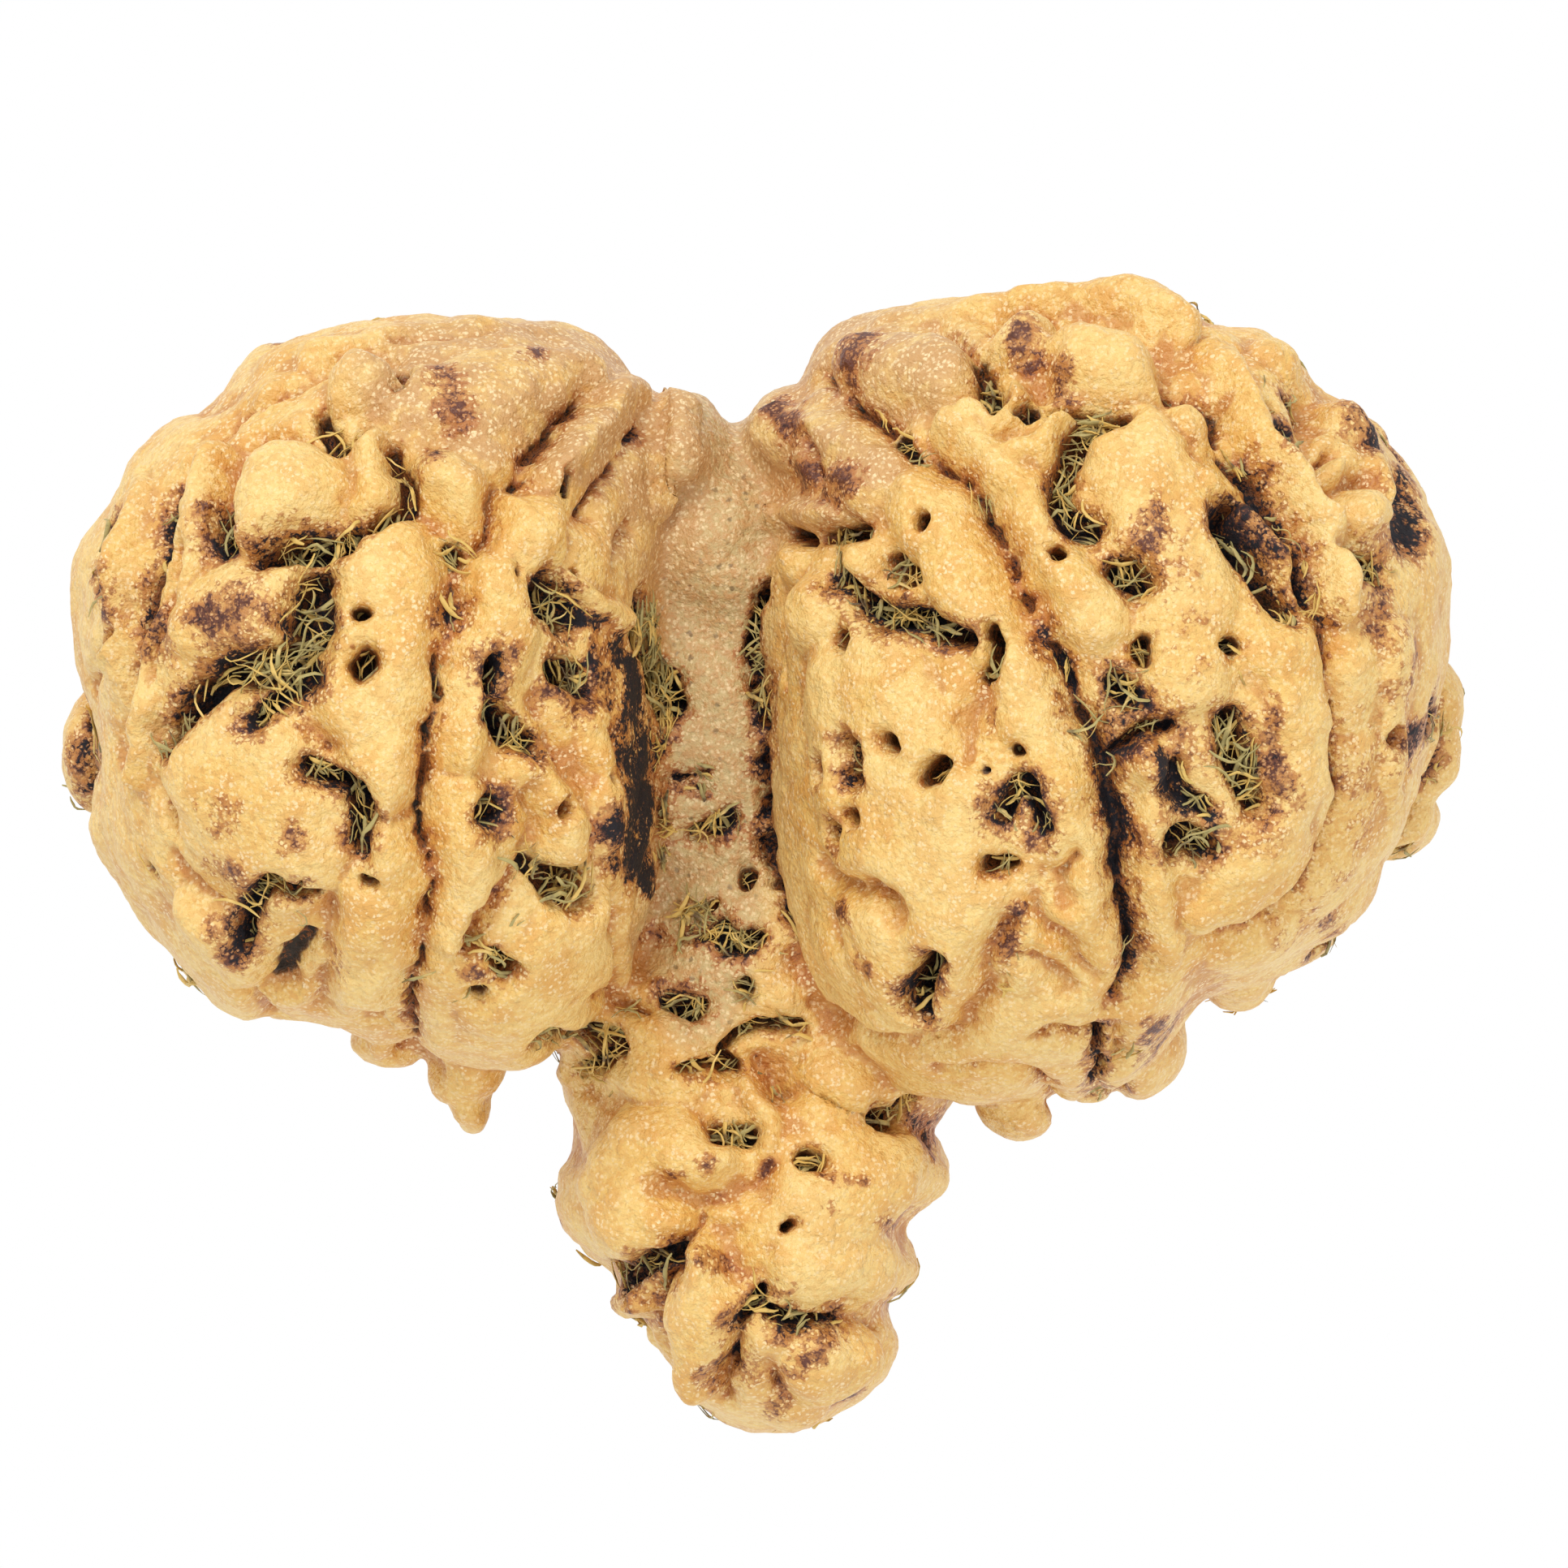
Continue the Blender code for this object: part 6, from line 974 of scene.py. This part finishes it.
def addFibres(name, parity):
    chance = random.Random(fibreSettings["seed"] + parity)
    bpy.ops.object.select_all(action="DESELECT")
    bpy.ops.curve.primitive_bezier_curve_add()
    strandCurve = bpy.context.object
    strandCurve.name = name
    strandCurve.data.splines.clear()
    strandCurve.data.bevel_depth, strandCurve.data.extrude = fibreSettings["flatness"]
    strandCurve.data.bevel_resolution = 0
    strandCurve.data.resolution_u = 1
    strandCurve.data.use_fill_caps = True
    for strands, depth, laid, widths in beds:
        for number in range(int(strands * fibreSettings["share"])):
            if number % 2 != parity:
                continue
            if number // 2 % fibreSettings["bundle"] == 0:
                i = chance.randrange(len(laid))
                j = min(i + 1, len(laid) - 1)
                middle = Vector(laid[i]).lerp(Vector(laid[j]), chance.random())
                normal = formTree.find_nearest(middle)[1]
                along = Vector(laid[j]) - Vector(laid[i])
                along = along if along.length > 1e-6 else normal.orthogonal()
                along = (along - normal * along.dot(normal)).normalized()
                across = normal.cross(along)
                middle += across * widths[i] * chance.uniform(-0.8, 0.8)
                middle -= normal * depth * chance.uniform(0.1, 0.7)
                bundleTurn = chance.gauss(0, 1.0)
                bundleCurl = chance.gauss(0, fibreSettings["curl"]) / fibreSettings["points"]
            turn = bundleTurn + chance.gauss(0, 0.35) + chance.choice((0, math.pi))
            length = chance.uniform(*fibreSettings["length"]) * (0.55 + 1.3 * widths[i])
            spot = middle + (across * chance.gauss(0, 0.3) + along * chance.gauss(0, 0.5)) * widths[i]
            spot -= normal * chance.gauss(0, 0.08)
            spot -= (along * math.cos(turn) + across * math.sin(turn)) * length * 0.45
            lift = chance.uniform(-0.4, 1) * fibreSettings["lift"]
            halfWidth = chance.uniform(*fibreSettings["halfWidth"])
            tilt = chance.uniform(-1.3, 1.3)
            spline = strandCurve.data.splines.new("POLY")
            spline.points.add(fibreSettings["points"] - 1)
            step = length / (fibreSettings["points"] - 1)
            for k in range(fibreSettings["points"]):
                share = k / (fibreSettings["points"] - 1)
                near, outward, _, _ = formTree.find_nearest(spot)
                rise = (spot - near).dot(outward)
                if rise > fibreSettings["highest"]:
                    spot -= outward * (rise - fibreSettings["highest"])
                spline.points[k].co = (*spot, 1)
                taper = 1 - 0.6 * (2 * share - 1) ** 2
                spline.points[k].radius = halfWidth * taper * chance.uniform(0.8, 1.2)
                spline.points[k].tilt = tilt
                turn += bundleCurl + chance.gauss(0, fibreSettings["kink"])
                lift += chance.gauss(0, 0.15)
                tilt += chance.gauss(0, 0.25)
                way = along * math.cos(turn) + across * math.sin(turn) + normal * lift * math.cos(3 * share)
                spot = spot + way.normalized() * step
    bpy.ops.object.select_all(action="DESELECT")
    strandCurve.select_set(True)
    bpy.context.view_layer.objects.active = strandCurve
    bpy.ops.object.convert(target="MESH")
    strandMesh = bpy.context.object
    strandPoints = getPoints(strandMesh) - np.array([shift[0], shift[1], formSettings["restTrim"]])
    strandPoints[:, 2] = np.maximum(strandPoints[:, 2], 0)
    setPoints(strandMesh, strandPoints * scale)
    strandMesh.data.shade_smooth()
    return strandMesh


strawFibres = addFibres("strawFibres", 0)
oliveFibres = addFibres("oliveFibres", 1)
print("fibres laid", len(strawFibres.data.polygons), len(oliveFibres.data.polygons))


# Materials. Colours are linear; sizes in the textures are given in mm
colours = {
    "pale": (0.86, 0.60, 0.215, 1),
    "tan": (0.80, 0.49, 0.130, 1),
    "orange": (0.70, 0.33, 0.064, 1),
    # painted shade: the colour that darkens folds and hollows
    "crease": (0.58, 0.25, 0.062, 1),
    # painted shade: pit walls, and darker in the pit depths
    "pitWallShade": (0.145, 0.062, 0.021, 1),
    "depth": (0.026, 0.017, 0.010, 1),
    "valley": (0.60, 0.46, 0.215, 1),
    "crust": (0.58, 0.32, 0.125, 1),
    "grain": (0.98, 0.77, 0.44, 1),
    "rust": (0.42, 0.125, 0.022, 1),
    "redBrown": (0.105, 0.026, 0.014, 1),
    "black": (0.009, 0.007, 0.011, 1),
    "straw": (0.70, 0.475, 0.125, 1),
    "olive": (0.42, 0.345, 0.125, 1),
    "bark": (0.12, 0.075, 0.035, 1),
}


def newMaterial(name):
    material = bpy.data.materials.new(name)
    material.use_nodes = True
    return material, material.node_tree, material.node_tree.nodes["Principled BSDF"]


def put(tree, kind, settings=(), **inputs):
    # one node, with its settings, its values and its incoming links; _ stands for a space
    node = tree.nodes.new(kind)
    for name, value in dict(settings).items():
        setattr(node, name, value)
    for name, value in inputs.items():
        socket = node.inputs[int(name[1:])] if name[1:].isdigit() else node.inputs[name.replace("_", " ")]
        if isinstance(value, bpy.types.NodeSocket):
            tree.links.new(value, socket)
        else:
            socket.default_value = value
    return node


def sums(tree, operation, first, second, third=0.0):
    node = put(tree, "ShaderNodeMath", {"operation": operation}, i0=first, i1=second, i2=third)
    return node.outputs[0]


def ranged(tree, value, low, high, toLow=0.0, toHigh=1.0):
    node = put(tree, "ShaderNodeMapRange", {"interpolation_type": "SMOOTHSTEP"}, Value=value, From_Min=low,
               From_Max=high, To_Min=toLow, To_Max=toHigh)
    return node.outputs["Result"]


def blended(tree, factor, under, over, kind="MIX"):
    node = put(tree, "ShaderNodeMix", {"data_type": "RGBA", "blend_type": kind}, i0=factor, i6=under, i7=over)
    return node.outputs[2]


def masked(tree, name):
    return put(tree, "ShaderNodeAttribute", {"attribute_name": name}).outputs["Fac"]


def cellsOf(tree, place, size):
    # cells of this size: the distance from each cell's middle, and a random tone for each
    node = put(tree, "ShaderNodeTexVoronoi", {"feature": "F1"}, Vector=place, Scale=1 / (size * mm))
    tone = put(tree, "ShaderNodeSeparateColor", {}, Color=node.outputs["Color"]).outputs["Red"]
    return node.outputs["Distance"], tone


def noise(tree, place, size, detail=3.0, roughness=0.6):
    node = put(tree, "ShaderNodeTexNoise", {}, Vector=place, Scale=1 / (size * mm), Detail=detail,
               Roughness=roughness)
    return node.outputs["Fac"]


stoneSettings = {
    "broad": 4.0,             # sizes in mm, from the large patches to the stone cells
    "middling": 1.1,
    "fine": 0.3,
    "sway": (0.16, 0.22),     # size and amount of the waver in the cells
    "cell": 0.15,
    "stone": 0.31,
    "pore": 0.4,
    "roughness": (0.43, 0.8),   # of the skin and of what is dark
    "shine": 0.45,
    "bump": (0.85, 0.12),     # strength, and depth in mm
}

beadStone, tree, shader = newMaterial("beadStone")
place = put(tree, "ShaderNodeTexCoord").outputs["Object"]
broad = noise(tree, place, stoneSettings["broad"])
middling = noise(tree, place, stoneSettings["middling"], 4.0, 0.6)
fine = noise(tree, place, stoneSettings["fine"], 3.0, 0.7)
swaySize, swayReach = stoneSettings["sway"]
sway = put(tree, "ShaderNodeTexNoise", {}, Vector=place, Scale=1 / (swaySize * mm), Detail=2.0)
sway = put(tree, "ShaderNodeVectorMath", {"operation": "SCALE"}, Vector=sway.outputs["Color"],
           Scale=swayReach * mm)
swayed = put(tree, "ShaderNodeVectorMath", {"operation": "ADD"}, i0=sway.outputs["Vector"], i1=place)
swayed = swayed.outputs["Vector"]
cells, cellTone = cellsOf(tree, swayed, stoneSettings["cell"])
speck = ranged(tree, cells, 0.55, 0.2)
speck = sums(tree, "MULTIPLY", speck, ranged(tree, cellTone, 0.2, 0.55))
stones, _ = cellsOf(tree, swayed, stoneSettings["stone"])
stones = sums(tree, "MULTIPLY", ranged(tree, stones, 0.32, 0.1), ranged(tree, fine, 0.4, 0.6, 0.0, 0.45))
speck = sums(tree, "MAXIMUM", speck, stones)
pores, poreTone = cellsOf(tree, swayed, stoneSettings["pore"])
pore = ranged(tree, pores, 0.12, 0.3, 1.0, 0.0)
pore = sums(tree, "MULTIPLY", pore, ranged(tree, poreTone, 0.45, 0.8))

crease, hollow = masked(tree, "crease"), masked(tree, "hollow")
inner, valley, crust, halo, dark = (masked(tree, name) for name in maskNames)
# high on the bulges: painted light makes them paler, and they get fewer specks
ridgeLightAndSmoothness = sums(tree, "MULTIPLY", ranged(tree, hollow, 0.1, -0.35), ranged(tree, broad, 0.35, 0.6, 0.3, 1.0))

# the skin: pale on the heights, where light is painted, darker orange in the folds, where shade is painted,
# with pale stone cells all over
skin = blended(tree, ranged(tree, broad, 0.38, 0.62), colours["tan"], colours["pale"])
skin = blended(tree, ranged(tree, middling, 0.46, 0.62, 0.0, 0.8), skin, colours["orange"])
skin = blended(tree, ranged(tree, cellTone, 0.55, 0.05, 0.0, 0.6), skin, colours["orange"])
# painted shade: the folds and hollows are darkened towards the crease colour
creaseShade = ranged(tree, crease, 0.0, 0.06, 0.0, 0.6)
creaseShade = sums(tree, "ADD", creaseShade, ranged(tree, hollow, -0.05, 0.6, 0.0, 0.6))
creaseShade = sums(tree, "MULTIPLY", creaseShade, ranged(tree, middling, 0.3, 0.6, 0.6, 1.3))
skin = blended(tree, creaseShade, skin, colours["crease"])
# painted light: the bulges are made paler
skin = blended(tree, sums(tree, "MULTIPLY", ridgeLightAndSmoothness, 0.5), skin, colours["pale"])
rough = sums(tree, "MULTIPLY_ADD", ridgeLightAndSmoothness, -0.25, ranged(tree, middling, 0.42, 0.62, 0.5, 0.9))
skin = blended(tree, sums(tree, "MULTIPLY", speck, rough), skin, colours["grain"])

valleySkin = blended(tree, ranged(tree, fine, 0.35, 0.65), colours["valley"], colours["crust"])
valleySkin = blended(tree, sums(tree, "MULTIPLY", speck, 0.6), valleySkin, colours["grain"])
valleySkin = blended(tree, sums(tree, "MULTIPLY", pore, 0.7), valleySkin, colours["bark"])
skin = blended(tree, sums(tree, "MULTIPLY", valley, 0.9), skin, valleySkin)
crustSkin = blended(tree, sums(tree, "MULTIPLY", speck, 0.8), colours["crust"], colours["grain"])
crusted = sums(tree, "MULTIPLY", crust, ranged(tree, middling, 0.35, 0.55, 0.25, 0.9))
skin = blended(tree, crusted, skin, crustSkin)

# painted shade on the pit walls, darker still in their depths, then red-brown and black stain, broken up by
# the stone cells
pitShadeLevel = sums(tree, "MULTIPLY_ADD", fine, 0.5, -0.25)
pitShadeLevel = sums(tree, "MULTIPLY_ADD", pitShadeLevel, ranged(tree, inner, 0.02, 0.25), inner)
skin = blended(tree, ranged(tree, pitShadeLevel, 0.02, 0.3), skin, colours["pitWallShade"])
skin = blended(tree, ranged(tree, pitShadeLevel, 0.2, 0.6, 0.0, 0.95), skin, colours["depth"])
broken = sums(tree, "MULTIPLY_ADD", fine, 1.5, -2.17)
broken = sums(tree, "MULTIPLY_ADD", middling, 2.2, broken)
broken = sums(tree, "MULTIPLY_ADD", cellTone, 0.5, broken)
broken = sums(tree, "MULTIPLY_ADD", speck, -0.45, broken)
stain = sums(tree, "MULTIPLY_ADD", broken, ranged(tree, halo, 0.02, 0.25), halo)
skin = blended(tree, ranged(tree, stain, 0.12, 0.5, 0.0, 0.75), skin, colours["rust"])
skin = blended(tree, ranged(tree, stain, 0.5, 0.95, 0.0, 0.95), skin, colours["redBrown"])
blot = sums(tree, "MULTIPLY_ADD", broken, ranged(tree, dark, 0.02, 0.3, 0.0, 0.8), dark)
blackness = ranged(tree, speck, 0.3, 1.0, 1.0, 0.72)
blackness = sums(tree, "MULTIPLY", blackness, ranged(tree, blot, 0.45, 0.85))
skin = blended(tree, blackness, skin, colours["black"])
tree.links.new(skin, shader.inputs["Base Color"])
dullness = ranged(tree, sums(tree, "MAXIMUM", blot, pitShadeLevel), 0.3, 0.8, *stoneSettings["roughness"])
tree.links.new(dullness, shader.inputs["Roughness"])
shader.inputs["Specular IOR Level"].default_value = stoneSettings["shine"]
height = sums(tree, "MULTIPLY", fine, 1.25)
height = sums(tree, "MULTIPLY_ADD", middling, 3.0, height)
bumpStrength, bumpDepth = stoneSettings["bump"]
bump = put(tree, "ShaderNodeBump", {}, Height=height, Strength=bumpStrength, Distance=bumpDepth * mm)
tree.links.new(bump.outputs["Normal"], shader.inputs["Normal"])
bead.data.materials.append(beadStone)

for strandMesh, colourName in ((strawFibres, "straw"), (oliveFibres, "olive")):
    material, tree, shader = newMaterial(colourName)
    place = put(tree, "ShaderNodeTexCoord").outputs["Object"]
    tone = noise(tree, place, 0.7, 3.0)
    colour = blended(tree, ranged(tree, tone, 0.5, 0.72), colours[colourName], colours["bark"])
    colour = blended(tree, ranged(tree, tone, 0.45, 0.3, 0.0, 0.7), colour, colours["pale"])
    tree.links.new(colour, shader.inputs["Base Color"])
    shader.inputs["Roughness"].default_value = 0.6
    strandMesh.data.materials.clear()
    strandMesh.data.materials.append(material)
print("materials made")

for piece in (bead, strawFibres, oliveFibres):
    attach(piece, "root")
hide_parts("bead")
